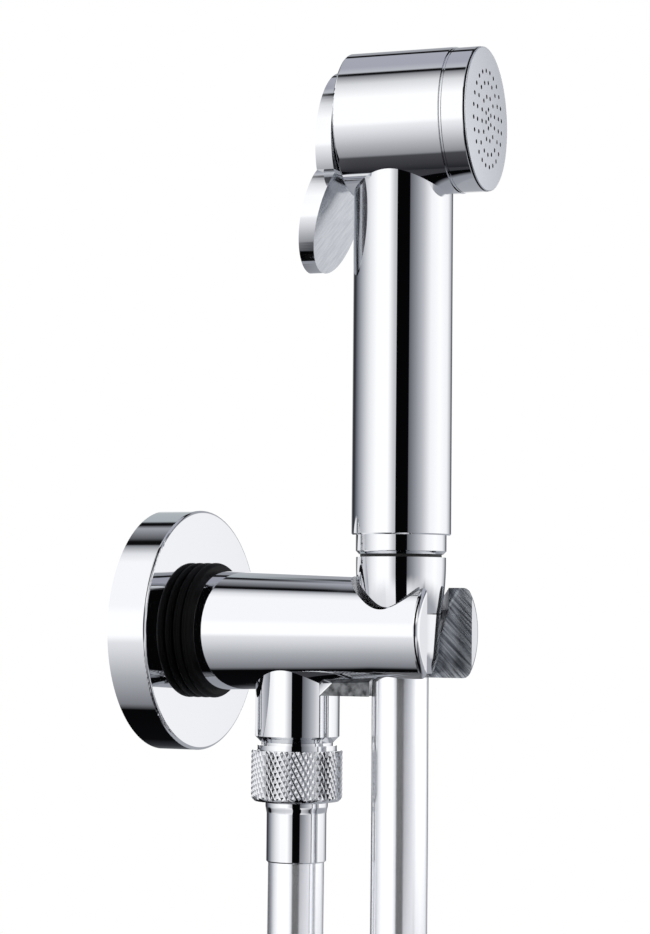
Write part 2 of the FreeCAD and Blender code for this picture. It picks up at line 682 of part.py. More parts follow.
def handle_plug():
    """Plug with the visible end collar, screwed into the handle, with the hose thread below."""
    top = COLLAR_TOP + PLUG_LENGTH
    seal_height = COLLAR_TOP + PLUG_LENGTH / 2
    outline = [
        (PLUG_BORE_RADIUS, HANDSET_THREAD_BOTTOM),
        (HANDSET_THREAD_RADIUS, HANDSET_THREAD_BOTTOM),
        (HANDSET_THREAD_RADIUS, COLLAR_BOTTOM),
        (COLLAR_RADIUS - COLLAR_CHAMFER, COLLAR_BOTTOM),
        (COLLAR_RADIUS, COLLAR_BOTTOM + COLLAR_CHAMFER),
        (COLLAR_RADIUS, COLLAR_TOP),
        (HANDLE_PLUG_BORE, COLLAR_TOP),
        (HANDLE_PLUG_BORE, top),
        (PLUG_BORE_RADIUS, top),
    ]
    return turned(outline).cut(o_ring_groove(HANDLE_PLUG_BORE, seal_height))


def plug_o_ring():
    """O-ring that seals the plug in the handle."""
    return o_ring(HANDLE_PLUG_BORE, COLLAR_TOP + PLUG_LENGTH / 2)


def handset_body():
    """Casting of handle and head, drilled for water, valve, cap and lever."""
    foot = HANDLE_FOOT_CHAMFER
    handle = turned(
        [
            (0, COLLAR_TOP),
            (HANDLE_RADIUS - foot, COLLAR_TOP),
            (HANDLE_RADIUS, COLLAR_TOP + foot),
            (HANDLE_RADIUS, HEAD_HEIGHT),
            (0, HEAD_HEIGHT),
        ]
    )
    edge = HEAD_REAR_ROUND
    bevel = edge * (1 - math.sqrt(0.5))
    head = outward(
        turned(
            [
                (0, HEAD_REAR),
                (HEAD_RADIUS - edge, HEAD_REAR),
                ((HEAD_RADIUS - bevel, HEAD_REAR + bevel), (HEAD_RADIUS, HEAD_REAR + edge)),
                (HEAD_RADIUS, HEAD_SEAM),
                (0, HEAD_SEAM),
            ]
        ),
        HEAD_HEIGHT,
    )
    plug_bore = rod(HANDLE_PLUG_BORE, COLLAR_TOP - DRILL_OVERRUN, COLLAR_TOP + PLUG_LENGTH + THREAD_RUNOUT)
    water_bore = rod(HANDLE_BORE, COLLAR_TOP, HANDLE_BORE_TOP)
    passage = at_depth(rod(PASSAGE_RADIUS, PASSAGE_BOTTOM, PASSAGE_TOP), PASSAGE_OFFSET)
    over = DRILL_OVERRUN
    bush_bore = outward(rod(BUSH_RADIUS, POCKET_FLOOR - over, CHAMBER_REAR + over), HEAD_HEIGHT)
    chamber = outward(rod(CHAMBER_RADIUS, CHAMBER_REAR, HEAD_SEAM + over), HEAD_HEIGHT)
    front_bore = outward(rod(SPRAY_CHAMBER_RADIUS, SPRAY_CHAMBER_REAR, HEAD_SEAM + over), HEAD_HEIGHT)
    half = POCKET_WIDTH / 2
    pocket = block(-half, half, -POCKET_FLOOR, over - HEAD_REAR, POCKET_BOTTOM, POCKET_TOP)
    pin_hole = across(PIVOT_PIN_RADIUS, PIN_HOLE_LENGTH)
    body = handle.fuse(head)
    return body.cut([plug_bore, water_bore, passage, bush_bore, chamber, front_bore, pocket, pin_hole])


def spray_cap():
    """Cap ring screwed into the head's mouth, with a bead in the seam and a recess for the spray plate."""
    groove = CAP_RADIUS - CAP_SEAM_DEPTH
    bead = CAP_RADIUS - CAP_BEAD_SUNK
    outline = [
        (CAP_BORE, HEAD_SEAM - CAP_SKIRT_LENGTH),
        (CAP_SKIRT_RADIUS, HEAD_SEAM - CAP_SKIRT_LENGTH),
        (CAP_SKIRT_RADIUS, HEAD_SEAM),
        (groove, HEAD_SEAM),
        (groove, CAP_BEAD_REAR),
        (bead, CAP_BEAD_REAR),
        (bead, CAP_BEAD_FRONT),
        (groove, CAP_BEAD_FRONT),
        (groove, CAP_REAR),
        (CAP_RADIUS, CAP_REAR),
        (CAP_RADIUS, CAP_FRONT - CAP_EDGE_CHAMFER),
        (CAP_RADIUS - CAP_EDGE_CHAMFER, CAP_FRONT),
        (PLATE_RECESS_RADIUS, CAP_FRONT),
        (PLATE_RECESS_RADIUS, PLATE_FLOOR),
        (CAP_BORE, PLATE_FLOOR),
    ]
    return outward(turned(outline), HEAD_HEIGHT)


def plate_ring():
    """Thin black ring of angled section, between the cap and the spray plate's body and brim."""
    outline = [
        (PLATE_RADIUS, PLATE_FLOOR),
        (PLATE_RECESS_RADIUS, PLATE_FLOOR),
        (PLATE_RECESS_RADIUS, CAP_FRONT),
        (PLATE_RING_RADIUS, CAP_FRONT),
        (PLATE_RING_RADIUS, PLATE_BRIM_REAR),
        (PLATE_RADIUS, PLATE_BRIM_REAR),
    ]
    return outward(turned(outline), HEAD_HEIGHT)


def spray_plate():
    """Slightly domed disc with a thin brim, drilled with rings of fine holes."""
    edge = PLATE_BRIM_REAR + PLATE_BRIM_THICKNESS
    rise = edge + PLATE_DOME
    rounding = PLATE_BRIM_ROUND
    bevel = rounding * (1 - math.sqrt(0.5))
    half_way = (PLATE_BRIM_RADIUS / 2, edge + PLATE_DOME_SHARE * PLATE_DOME)
    outline = [
        (0, PLATE_FLOOR),
        (PLATE_RADIUS, PLATE_FLOOR),
        (PLATE_RADIUS, PLATE_BRIM_REAR),
        (PLATE_BRIM_RADIUS, PLATE_BRIM_REAR),
        (PLATE_BRIM_RADIUS, edge - rounding),
        ((PLATE_BRIM_RADIUS - bevel, edge - bevel), (PLATE_BRIM_RADIUS - rounding, edge)),
        (half_way, (0, rise)),
    ]
    disc = turned(outline)
    drill = rod(SPRAY_HOLE_DIAMETER / 2, PLATE_FLOOR - DRILL_OVERRUN, rise + DRILL_OVERRUN)
    drills = [drill.copy()]
    for radius, count in zip(SPRAY_RING_RADII, SPRAY_RING_COUNTS):
        for k in range(count):
            angle = math.radians(360 * (k + 0.5) / count)
            hole = drill.copy()
            hole.translate(Vector(radius * math.cos(angle), radius * math.sin(angle), 0))
            drills.append(hole)
    return outward(disc.cut(drills), HEAD_HEIGHT)


def flow_disc():
    """Plastic disc behind the spray plate that spreads the water."""
    front = FLOW_DISC_REAR + FLOW_DISC_THICKNESS
    outer = CAP_BORE - FLOW_DISC_CLEARANCE
    disc = ring(outer, FLOW_CENTRE_RADIUS, FLOW_DISC_REAR, front)
    rim = ring(outer, outer - FLOW_RIM_WIDTH, FLOW_DISC_REAR, PLATE_FLOOR)
    drills = []
    for k in range(FLOW_HOLE_COUNT):
        angle = math.radians(360 * k / FLOW_HOLE_COUNT)
        hole = rod(FLOW_HOLE_RADIUS, FLOW_DISC_REAR - DRILL_OVERRUN, front + DRILL_OVERRUN)
        hole.translate(Vector(FLOW_HOLE_CIRCLE * math.cos(angle), FLOW_HOLE_CIRCLE * math.sin(angle), 0))
        drills.append(hole)
    return outward(disc.fuse(rim).cut(drills), HEAD_HEIGHT)


def valve_seat():
    """Ring screwed into the chamber, against which the valve closes."""
    return outward(ring(CHAMBER_RADIUS, SEAT_BORE_RADIUS, SEAT_REAR, SPRAY_CHAMBER_REAR), HEAD_HEIGHT)


def stem_seal_room():
    """Groove for the stem's O-ring inside the bush."""
    bore = STEM_RADIUS + STEM_CLEARANCE
    middle = POCKET_FLOOR + STEM_SEAL_DEPTH
    half = O_RING_GROOVE_WIDTH / 2
    return ring(bore + O_RING_GROOVE_DEPTH, bore, middle - half, middle + half)


def valve_bush():
    """Bush in the head's rear wall that guides the stem."""
    bore = STEM_RADIUS + STEM_CLEARANCE
    flange_rear = POCKET_FLOOR - BUSH_FLANGE_THICKNESS
    outline = [
        (bore, flange_rear),
        (BUSH_FLANGE_RADIUS, flange_rear),
        (BUSH_FLANGE_RADIUS, POCKET_FLOOR),
        (BUSH_RADIUS, POCKET_FLOOR),
        (BUSH_RADIUS, CHAMBER_REAR),
        (bore, CHAMBER_REAR),
    ]
    return outward(turned(outline).cut(stem_seal_room()), HEAD_HEIGHT)


def stem_o_ring():
    """O-ring round the stem, inside the bush."""
    radius = STEM_RADIUS + STEM_CLEARANCE + O_RING_SECTION / 2
    middle = POCKET_FLOOR + STEM_SEAL_DEPTH
    torus = Part.makeTorus(radius, O_RING_SECTION / 2, Vector(0, 0, middle))
    return outward(torus.common(stem_seal_room()), HEAD_HEIGHT)


def valve_stem():
    """Stem with a button for the lever's fork at its rear and a plate that carries the rubber disc."""
    disc_rear = SEAT_REAR - VALVE_DISC_THICKNESS
    plate_rear = disc_rear - VALVE_PLATE_THICKNESS
    fork_front = PIVOT_DEPTH + LUG_THICKNESS / 2
    fork_rear = PIVOT_DEPTH - LUG_THICKNESS / 2
    button_front = fork_rear - FORK_CLEARANCE
    button_rear = button_front - STEM_BUTTON_THICKNESS
    neck_front = fork_front + FORK_CLEARANCE
    pilot_front = SEAT_REAR + STEM_PILOT_LENGTH
    outline = [
        (0, button_rear),
        (STEM_BUTTON_RADIUS - STEM_BUTTON_CHAMFER, button_rear),
        (STEM_BUTTON_RADIUS, button_rear + STEM_BUTTON_CHAMFER),
        (STEM_BUTTON_RADIUS, button_front),
        (STEM_NECK_RADIUS, button_front),
        (STEM_NECK_RADIUS, neck_front),
        (STEM_RADIUS, neck_front),
        (STEM_RADIUS, plate_rear),
        (VALVE_PLATE_RADIUS, plate_rear),
        (VALVE_PLATE_RADIUS, disc_rear),
        (STEM_RADIUS, disc_rear),
        (STEM_RADIUS, pilot_front),
        (0, pilot_front),
    ]
    return outward(turned(outline), HEAD_HEIGHT)


def valve_disc():
    """Rubber disc on the stem that closes the seat."""
    return outward(
        ring(VALVE_DISC_RADIUS, STEM_RADIUS, SEAT_REAR - VALVE_DISC_THICKNESS, SEAT_REAR), HEAD_HEIGHT
    )


def valve_spring():
    """Compression spring between bush and valve plate."""
    start = CHAMBER_REAR + SPRING_WIRE / 2
    end = SEAT_REAR - VALVE_DISC_THICKNESS - VALVE_PLATE_THICKNESS - SPRING_WIRE / 2
    pitch = (end - start) / SPRING_TURNS
    helix = Part.makeHelix(pitch, end - start, SPRING_RADIUS)
    helix.translate(Vector(0, 0, start))
    section = Part.Circle(Vector(SPRING_RADIUS, 0, start), Vector(0, 1, 0), SPRING_WIRE / 2)
    coil = Part.Wire(helix).makePipeShell([Part.Wire([section.toShape()])], True, True)
    return outward(coil, HEAD_HEIGHT)


def lever():
    """Round plate cut off straight at its waist, with a tilted round paddle and a forked lug for the stem."""
    over = DRILL_OVERRUN
    reach = LEVER_DISC_RADIUS + over
    lean = math.tan(math.radians(LEVER_REAR_LEAN)) * reach
    wedge_side = [
        (-LEVER_FRONT, LEVER_DISC_HEIGHT - reach),
        (-LEVER_FRONT, LEVER_DISC_HEIGHT + reach),
        (-LEVER_REAR - lean, LEVER_DISC_HEIGHT + reach),
        (-LEVER_REAR + lean, LEVER_DISC_HEIGHT - reach),
    ]
    wedge_corners = [Vector(-reach, y, z) for y, z in wedge_side]
    wedge = Part.Face(Part.makePolygon(wedge_corners + wedge_corners[:1])).extrude(Vector(2 * reach, 0, 0))
    disc = wedge.common(outward(rod(LEVER_DISC_RADIUS, LEVER_REAR - reach, 0), LEVER_DISC_HEIGHT))
    low = LEVER_DISC_HEIGHT - reach
    below = block(-reach, reach, -LEVER_FRONT - over, -LEVER_REAR + lean + over, low, LEVER_WAIST)
    top = PADDLE_SHOULDER_TOP
    bottom = PADDLE_HEIGHT - PADDLE_RADIUS - over
    front_slope = math.tan(math.radians(PADDLE_FRONT_TILT))
    rear_slope = math.tan(math.radians(PADDLE_REAR_TILT))
    front_middle = -LEVER_FRONT + front_slope * (PADDLE_BEND - PADDLE_HEIGHT)
    rear_middle = front_middle + PADDLE_THICKNESS
    side = [
        (-LEVER_FRONT, top),
        (-LEVER_FRONT, PADDLE_BEND),
        (front_middle + front_slope * (PADDLE_HEIGHT - bottom), bottom),
        (rear_middle + rear_slope * (PADDLE_HEIGHT - bottom), bottom),
        (rear_middle - rear_slope * (PADDLE_SHOULDER - PADDLE_HEIGHT), PADDLE_SHOULDER),
        (-LEVER_REAR, top),
    ]
    corners = [Vector(-reach, y, z) for y, z in side]
    bent = Part.Face(Part.makePolygon(corners + corners[:1])).extrude(Vector(2 * reach, 0, 0))
    paddle = bent.common(outward(rod(PADDLE_RADIUS, LEVER_REAR - PADDLE_RADIUS, 0), PADDLE_HEIGHT))
    half = LUG_WIDTH / 2
    front = -PIVOT_DEPTH - LUG_THICKNESS / 2
    rear = -PIVOT_DEPTH + LUG_THICKNESS / 2
    tongue = block(-half, half, front, rear, PIVOT_HEIGHT, LUG_TOP)
    eye = across(LUG_EYE_RADIUS, LUG_WIDTH)
    inside = -LEVER_FRONT + LUG_ROOT_DEPTH
    foot = block(-half, half, rear, inside, PIVOT_HEIGHT, PIVOT_HEIGHT + LUG_ROOT_HEIGHT)
    slot_half = FORK_GAP / 2
    slot_bottom = HEAD_HEIGHT - STEM_BUTTON_RADIUS
    slot = block(-slot_half, slot_half, front - over, rear + over, slot_bottom, LUG_TOP + over)
    hole = across(PIVOT_PIN_RADIUS + PIVOT_CLEARANCE, LUG_WIDTH + 2 * over)
    return disc.cut(below).fuse([paddle, tongue, eye, foot]).cut([slot, hole])


def lever_pin():
    """Pin on which the lever rocks, pressed into the walls of the pocket."""
    return across(PIVOT_PIN_RADIUS, PIN_LENGTH)


BRACKET_PIECES = {
    "wall_flange": wall_flange,
    "wall_seal": wall_seal,
    "collar_ring": collar_ring,
    "bracket_body": bracket_body,
    "outlet_nipple": outlet_nipple,
    "union_nut": union_nut,
    "outlet_washer": outlet_washer,
    "outlet_hose_insert": outlet_hose_insert,
    "outlet_ferrule": outlet_ferrule,
    "hose": hose,
    "swivel_cone": swivel_cone,
    "swivel_insert": swivel_insert,
}

HANDSET_PIECES = {
    "cone_nut": cone_nut,
    "swivel_washer": swivel_washer,
    "handle_plug": handle_plug,
    "plug_o_ring": plug_o_ring,
    "handset_body": handset_body,
    "spray_cap": spray_cap,
    "plate_ring": plate_ring,
    "spray_plate": spray_plate,
    "flow_disc": flow_disc,
    "valve_seat": valve_seat,
    "valve_bush": valve_bush,
    "stem_o_ring": stem_o_ring,
    "valve_stem": valve_stem,
    "valve_disc": valve_disc,
    "valve_spring": valve_spring,
    "lever": lever,
    "lever_pin": lever_pin,
}


def main():
    """Builds every piece and writes one file for each."""
    os.makedirs("parts", exist_ok=True)
    for name, build in BRACKET_PIECES.items():
        build().exportStep(f"parts/{name}.step")
    for name, build in HANDSET_PIECES.items():
        in_holder(build()).exportStep(f"parts/{name}.step")


main()
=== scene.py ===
"""Dresses the handheld bidet shower: plated brass, black rubber, a silver hose and a plain white studio."""

import logging
import math
from collections.abc import Callable, Sequence
from dataclasses import dataclass
from enum import Enum
from typing import Any

import bmesh
import bpy
from mathutils import Matrix, Vector

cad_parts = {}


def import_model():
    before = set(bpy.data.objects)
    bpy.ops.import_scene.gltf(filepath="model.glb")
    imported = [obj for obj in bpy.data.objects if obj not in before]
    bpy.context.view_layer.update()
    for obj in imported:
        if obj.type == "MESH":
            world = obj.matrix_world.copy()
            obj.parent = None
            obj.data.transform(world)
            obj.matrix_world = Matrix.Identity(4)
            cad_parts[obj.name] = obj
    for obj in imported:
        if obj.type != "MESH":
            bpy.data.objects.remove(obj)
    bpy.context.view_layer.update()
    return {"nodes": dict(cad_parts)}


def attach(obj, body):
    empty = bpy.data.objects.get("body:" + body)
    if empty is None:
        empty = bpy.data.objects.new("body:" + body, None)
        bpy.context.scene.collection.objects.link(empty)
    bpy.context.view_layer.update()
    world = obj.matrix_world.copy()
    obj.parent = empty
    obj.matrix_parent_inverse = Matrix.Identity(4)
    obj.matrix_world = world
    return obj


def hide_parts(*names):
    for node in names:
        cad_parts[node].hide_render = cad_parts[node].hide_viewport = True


log = logging.getLogger("bidet_shower")

MM = 0.001

# Octaves of the grain's noise, and the part of its range in which the shade gives way to the main colour
GRAIN_DETAIL = 3.0
SHADE_RANGE = (0.36, 0.62)

# Corners nearer than this are one corner, and an edge shorter than half of it is dropped
MERGE_MM = 0.001
# Rise along the axis of a flat end's normal
FLAT_END_RISE = 0.9999
# Sideways lean of a turned facet's normal: always allowed, and allowed as a share of its outward part
SIDEWAYS_LEAN = 0.01
SIDEWAYS_SHARE = 0.25
# A wall whose normal rises less than this is a cylinder, whose radii differ by no more than the spread
CYLINDER_RISE = 0.002
CYLINDER_SPREAD_MM = 0.02
# A corner at a smaller radius lies on the axis
ON_AXIS_MM = 0.01
# Cosine between the normals of faces in one plane
ONE_PLANE = 0.999995
# Sine of twice the slope, below which a facet is a cylinder's or a flat end's
PLAIN_SLOPE = 0.004
# Keeps a mean over areas from a division by nothing
LEAST_AREA = 1e-18


class Body(str, Enum):
    """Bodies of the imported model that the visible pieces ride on."""

    BRACKET = "bracket"
    HANDSET = "handset"
    LEVER = "lever"


def linear(hex_colour: str) -> tuple[float, float, float, float]:
    """Turns an sRGB hex colour to the linear values that Blender's nodes take.

    Args:
        hex_colour: six hex digits, such as "c8ccd2".

    Returns:
        Red, green, blue and an alpha of 1.
    """
    parts = [int(hex_colour[i : i + 2], 16) / 255 for i in (0, 2, 4)]
    red, green, blue = [c / 12.92 if c <= 0.04045 else ((c + 0.055) / 1.055) ** 2.4 for c in parts]
    return (red, green, blue, 1.0)


@dataclass
class NodeSheet:
    """Node tree of a material, world or modifier while it is being filled."""

    tree: bpy.types.NodeTree

    def add(self, kind: str, settings: dict[str, Any] | None = None, **links: Any) -> bpy.types.Node:
        """Adds a node with its settings and what feeds its sockets.

        Args:
            kind: the node's type name.
            settings: attributes of the node, such as its operation.
            links: socket name, or "in0", "in1" for a socket's number, to what feeds it: a value, an output
                socket, or a node for its first output.

        Returns:
            The new node.
        """
        node = self.tree.nodes.new(kind)
        for name, value in (settings or {}).items():
            setattr(node, name, value)
        for name, value in links.items():
            numbered = name.startswith("in") and name[2:].isdigit()
            socket = node.inputs[int(name[2:]) if numbered else name.replace("_", " ")]
            if isinstance(value, bpy.types.Node):
                value = value.outputs[0]
            if isinstance(value, bpy.types.NodeSocket):
                self.tree.links.new(value, socket)
            else:
                socket.default_value = value
        return node


@dataclass(frozen=True)
class Finish:
    """Finish of one kind of surface, with the fine texture that keeps it from looking drawn.

    One noise of the grain's size spreads the roughness, raises the bump and, where there is a shade, turns
    the colour to it in its low places. The streak draws the noise out along one direction, which is turned
    by turn_deg.
    """

    name: str
    colour: str
    slot: str = ""
    metallic: float = 0.0
    roughness: float = 0.4
    ior: float = 1.5
    coat: float = 0.0
    coat_roughness: float = 0.03
    grain_mm: float = 0.0
    grain_bump_mm: float = 0.0
    roughness_spread: float = 0.0
    shade: str = ""
    streak: tuple[float, float, float] = (1.0, 1.0, 1.0)
    turn_deg: tuple[float, float, float] = (0.0, 0.0, 0.0)

    def material(self) -> bpy.types.Material:
        """Makes the material, or finds it again by its name.

        Returns:
            The material.
        """
        made = bpy.data.materials.get(self.name)
        if made:
            return made
        made = bpy.data.materials.new(self.name)
        made.use_nodes = True
        made.node_tree.nodes.clear()
        sheet = NodeSheet(made.node_tree)
        surface = {
            "Base_Color": linear(self.colour),
            "Metallic": self.metallic,
            "Roughness": self.roughness,
            "IOR": self.ior,
            "Coat_Weight": self.coat,
            "Coat_Roughness": self.coat_roughness,
        }
        if self.grain_mm:
            surface |= self.texture(sheet)
        shader = sheet.add("ShaderNodeBsdfPrincipled", **surface)
        sheet.add("ShaderNodeOutputMaterial", Surface=shader)
        return made

    def texture(self, sheet: NodeSheet) -> dict[str, Any]:
        """Makes a noise of the real grain size that varies roughness, tint and bump.

        Args:
            sheet: the material's nodes.

        Returns:
            What feeds the shader's sockets, by their names.
        """
        turned = sheet.add(
            "ShaderNodeMapping",
            {"vector_type": "TEXTURE"},
            Vector=sheet.add("ShaderNodeTexCoord").outputs["Object"],
            Rotation=tuple(math.radians(angle) for angle in self.turn_deg),
            Scale=self.streak,
        )
        grain = sheet.add(
            "ShaderNodeTexNoise", Vector=turned, Scale=1 / (self.grain_mm * MM), Detail=GRAIN_DETAIL
        )
        fed: dict[str, Any] = {
            "Roughness": sheet.add(
                "ShaderNodeMapRange",
                in0=grain,
                in3=max(0.0, self.roughness - self.roughness_spread),
                in4=self.roughness + self.roughness_spread,
            )
        }
        if self.shade:
            depth = sheet.add("ShaderNodeMapRange", in0=grain, in1=SHADE_RANGE[0], in2=SHADE_RANGE[1])
            fed["Base_Color"] = sheet.add(
                "ShaderNodeMix",
                {"data_type": "RGBA"},
                in0=depth,
                in6=linear(self.shade),
                in7=linear(self.colour),
            ).outputs[2]
        if self.grain_bump_mm:
            fed["Normal"] = sheet.add(
                "ShaderNodeBump", Height=grain, Distance=self.grain_bump_mm * MM, Strength=1.0
            )
        return fed


# Bright chrome plate over polished brass: a near mirror, cool and slightly darker than silver. Its grain is
# the faint unevenness that the polishing wheel leaves over a few millimetres
CHROME = Finish(
    "chrome_plate_polished",
    "e6e7e9",
    slot="chrome",
    metallic=1.0,
    roughness=0.03,
    grain_mm=2.5,
    roughness_spread=0.01,
)
# The same plate over milled brass, where the cutter's diagonal marks, half a millimetre apart, still show
# through it
CHROME_MILLED = Finish(
    "chrome_plate_over_milled_brass",
    "c2c6ca",
    metallic=1.0,
    roughness=0.26,
    grain_mm=0.5,
    grain_bump_mm=0.006,
    roughness_spread=0.08,
    shade="666a70",
    streak=(1.0, 22.0, 1.0),
    turn_deg=(45.0, 0.0, 0.0),
)
# Plate over the web's rough cast underside, dull, and coloured darker than the turned surfaces round it:
# the darker colour is painted shade under the arm
CHROME_CAST_PAINTED_SHADE = Finish(
    "chrome_plate_over_cast_brass",
    "7b7d7f",
    metallic=1.0,
    roughness=0.3,
    grain_mm=1.6,
    grain_bump_mm=0.03,
    roughness_spread=0.1,
    shade="404244",
)
# Plate on the walls that face another part closely, left with the soft sheen of the polishing wheel's edge
CHROME_SOFT = Finish(
    "chrome_plate_soft", "eeeff1", metallic=1.0, roughness=0.42, grain_mm=0.8, roughness_spread=0.05
)
# Plate over the rolled knurl, a little duller in its valleys
CHROME_KNURL = Finish(
    "chrome_plate_over_knurl",
    "dfe0e3",
    slot="chrome",
    metallic=1.0,
    roughness=0.2,
    grain_mm=0.4,
    roughness_spread=0.05,
)
# Plate on the inner side of the paddle, hand polished less far, with fine straight scratches
CHROME_SCRATCHED = Finish(
    "chrome_plate_finely_scratched",
    "eceef0",
    metallic=1.0,
    roughness=0.2,
    grain_mm=0.9,
    grain_bump_mm=0.002,
    roughness_spread=0.08,
    shade="d9dce0",
    streak=(1.0, 1.0, 16.0),
    turn_deg=(0.0, 45.0, 0.0),
)
# Stamped stainless steel, bead-blasted to an even satin that blurs what it mirrors. Its real grain of about
# 0.1 mm is too fine to show, so it is drawn at 0.25 mm
SATIN_STEEL = Finish(
    "stainless_steel_satin",
    "eceef2",
    slot="satin_steel",
    metallic=1.0,
    roughness=0.36,
    grain_mm=0.25,
    grain_bump_mm=0.004,
    roughness_spread=0.05,
)
# Walls of the punched spray holes, coloured dark grey as painted shade inside the holes
HOLE_WALL_PAINTED_SHADE = Finish(
    "stainless_steel_punched", "3c3e42", metallic=1.0, roughness=0.55, grain_mm=0.2, roughness_spread=0.05
)
# Plain turned stainless steel inside the valve
STEEL = Finish(
    "stainless_steel_turned", "b9bcc0", metallic=1.0, roughness=0.25, grain_mm=0.3, roughness_spread=0.08
)
# Painted shade: the plug's own faces at the bottom of the groove between the collar and the nut below it
# are coloured black
GROOVE_PAINTED_SHADE = Finish("groove_seal_black", "08080a", roughness=0.5, grain_mm=0.5, roughness_spread=0.05)
# Turned brass of the hose inserts and valve parts
BRASS = Finish(
    "brass_turned", "c8a55c", metallic=1.0, roughness=0.25, grain_mm=0.3, roughness_spread=0.08
)
# Moulded nitrile rubber, deep black with the soft gloss of a clean mould. Its IOR is set low, because the
# white panels all round would grey it
RUBBER = Finish(
    "nitrile_rubber_moulded",
    "040405",
    slot="black_rubber",
    roughness=0.5,
    ior=1.22,
    grain_mm=0.35,
    grain_bump_mm=0.004,
    roughness_spread=0.08,
)
# Injection-moulded acetal of the flow disc
ACETAL = Finish(
    "acetal_moulded", "e6e6e3", roughness=0.45, grain_mm=0.8, grain_bump_mm=0.003, roughness_spread=0.05
)
# Silver foil winding under a clear vinyl jacket: a soft metallic sheen below a glossy coat
HOSE_VINYL = Finish(
    "clear_vinyl_over_silver_foil",
    "fbfcff",
    slot="silver_hose",
    metallic=0.85,
    roughness=0.14,
    coat=0.3,
    coat_roughness=0.04,
    grain_mm=6.0,
    grain_bump_mm=0.004,
    roughness_spread=0.03,
)
# Studio paper of the floor, near white and fully matt
PAPER = Finish("floor_paper_matt", "f2f2f2", roughness=0.9)

NODE_FINISHES: dict[str, Finish] = {
    "wall_flange": CHROME,
    "wall_seal": RUBBER,
    "collar_ring": RUBBER,
    "bracket_body": CHROME,
    "outlet_nipple": CHROME,
    "union_nut": CHROME,
    "outlet_washer": RUBBER,
    "outlet_hose_insert": BRASS,
    "outlet_ferrule": CHROME,
    "swivel_cone": CHROME,
    "swivel_insert": BRASS,
    "cone_nut": CHROME,
    "swivel_washer": RUBBER,
    "handle_plug": CHROME,
    "plug_o_ring": RUBBER,
    "handset_body": CHROME,
    "spray_cap": CHROME,
    "plate_ring": RUBBER,
    "spray_plate": SATIN_STEEL,
    "flow_disc": ACETAL,
    "valve_seat": BRASS,
    "valve_bush": BRASS,
    "stem_o_ring": RUBBER,
    "valve_stem": STEEL,
    "valve_disc": RUBBER,
    "valve_spring": STEEL,
    "lever": CHROME,
    "lever_pin": STEEL,
}


def piece(name: str, mesh: bpy.types.Mesh, body: Body, finishes: Sequence[Finish]) -> bpy.types.Object:
    """Makes a scene object of a mesh, dressed and riding on its body.

    Args:
        name: the piece's name.
        mesh: its mesh, in place in the row frame.
        body: the body that it moves with.
        finishes: one finish for each material slot.

    Returns:
        The new object.
    """
    mesh.materials.clear()
    for finish in finishes:
        mesh.materials.append(finish.material())
    made = bpy.data.objects.new(name, mesh)
    bpy.context.scene.collection.objects.link(made)
    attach(made, body.value)
    return made


@dataclass(frozen=True)
class Axis:
    """Straight line that a turned surface runs round."""

    through_mm: tuple[float, float, float]
    along: tuple[float, float, float]

    def out(self, place: Vector) -> tuple[Vector, float]:
        """Direction and distance from the axis to a place.

        Args:
            place: the place in metres.

        Returns:
            The unit vector away from the axis, and the radius in metres.
        """
        offset = place - Vector(self.through_mm) * MM
        offset -= Vector(self.along) * offset.dot(Vector(self.along))
        return offset.normalized(), offset.length

    def slope(self, corners: Sequence[Vector], normal: Vector) -> float | None:
        """Angle of a turned facet's normal, from 0 straight outward to a right angle along the axis.

        Args:
            corners: the facet's corners in metres.
            normal: its unit normal.

        Returns:
            The angle in radians, or None for a facet that isn't part of a surface turned round this axis.
        """
        along = Vector(self.along)
        rise = normal.dot(along)
        if abs(rise) > FLAT_END_RISE:
            return math.copysign(math.pi / 2, rise)
        ways = [self.out(corner) for corner in corners]
        leans = [abs(normal.dot(along.cross(way))) for way, radius in ways if radius > ON_AXIS_MM * MM]
        level = math.sqrt(1 - rise * rise)
        if max(leans, default=0.0) > max(SIDEWAYS_LEAN, SIDEWAYS_SHARE * level):
            return None
        radii = [radius for _, radius in ways]
        if abs(rise) < CYLINDER_RISE and max(radii) - min(radii) > CYLINDER_SPREAD_MM * MM:
            return None
        outward = sum((way * radius for way, radius in ways), Vector()).normalized()
        return math.atan2(rise, math.copysign(level, normal.dot(outward)))


# Axis and slope of a turned face, or None for any other face
Facet = tuple[Axis, float] | None


def is_plain(slope: float) -> bool:
    """Tells a cylinder's or a flat end's slope from a bevel's.

    Args:
        slope: the slope in radians.

    Returns:
        True for a cylinder or a flat end.
    """
    return abs(math.sin(2 * slope)) < PLAIN_SLOPE


# Axes of the turned surfaces: arm, neck below it, handle above the holder, and on the turned head the head
# itself, the lever's plate and its paddle
ARM_AXIS = Axis((0.0, 0.0, 0.0), (0.0, 1.0, 0.0))
NECK_AXIS = Axis((0.0, -39.0, 0.0), (0.0, 0.0, 1.0))
HANDLE_AXIS = Axis((0.0, -68.0, 0.0), (0.0, 0.0, 1.0))
HEAD_TURN = math.radians(5.25)
FRONT = (math.sin(HEAD_TURN), -math.cos(HEAD_TURN), 0.0)
HEAD_AXIS = Axis((0.0, -68.0, 130.6), FRONT)
PLATE_AXIS = Axis((0.0, -68.0, 125.9), FRONT)
PADDLE_AXIS = Axis((0.0, -68.0, 107.6), FRONT)


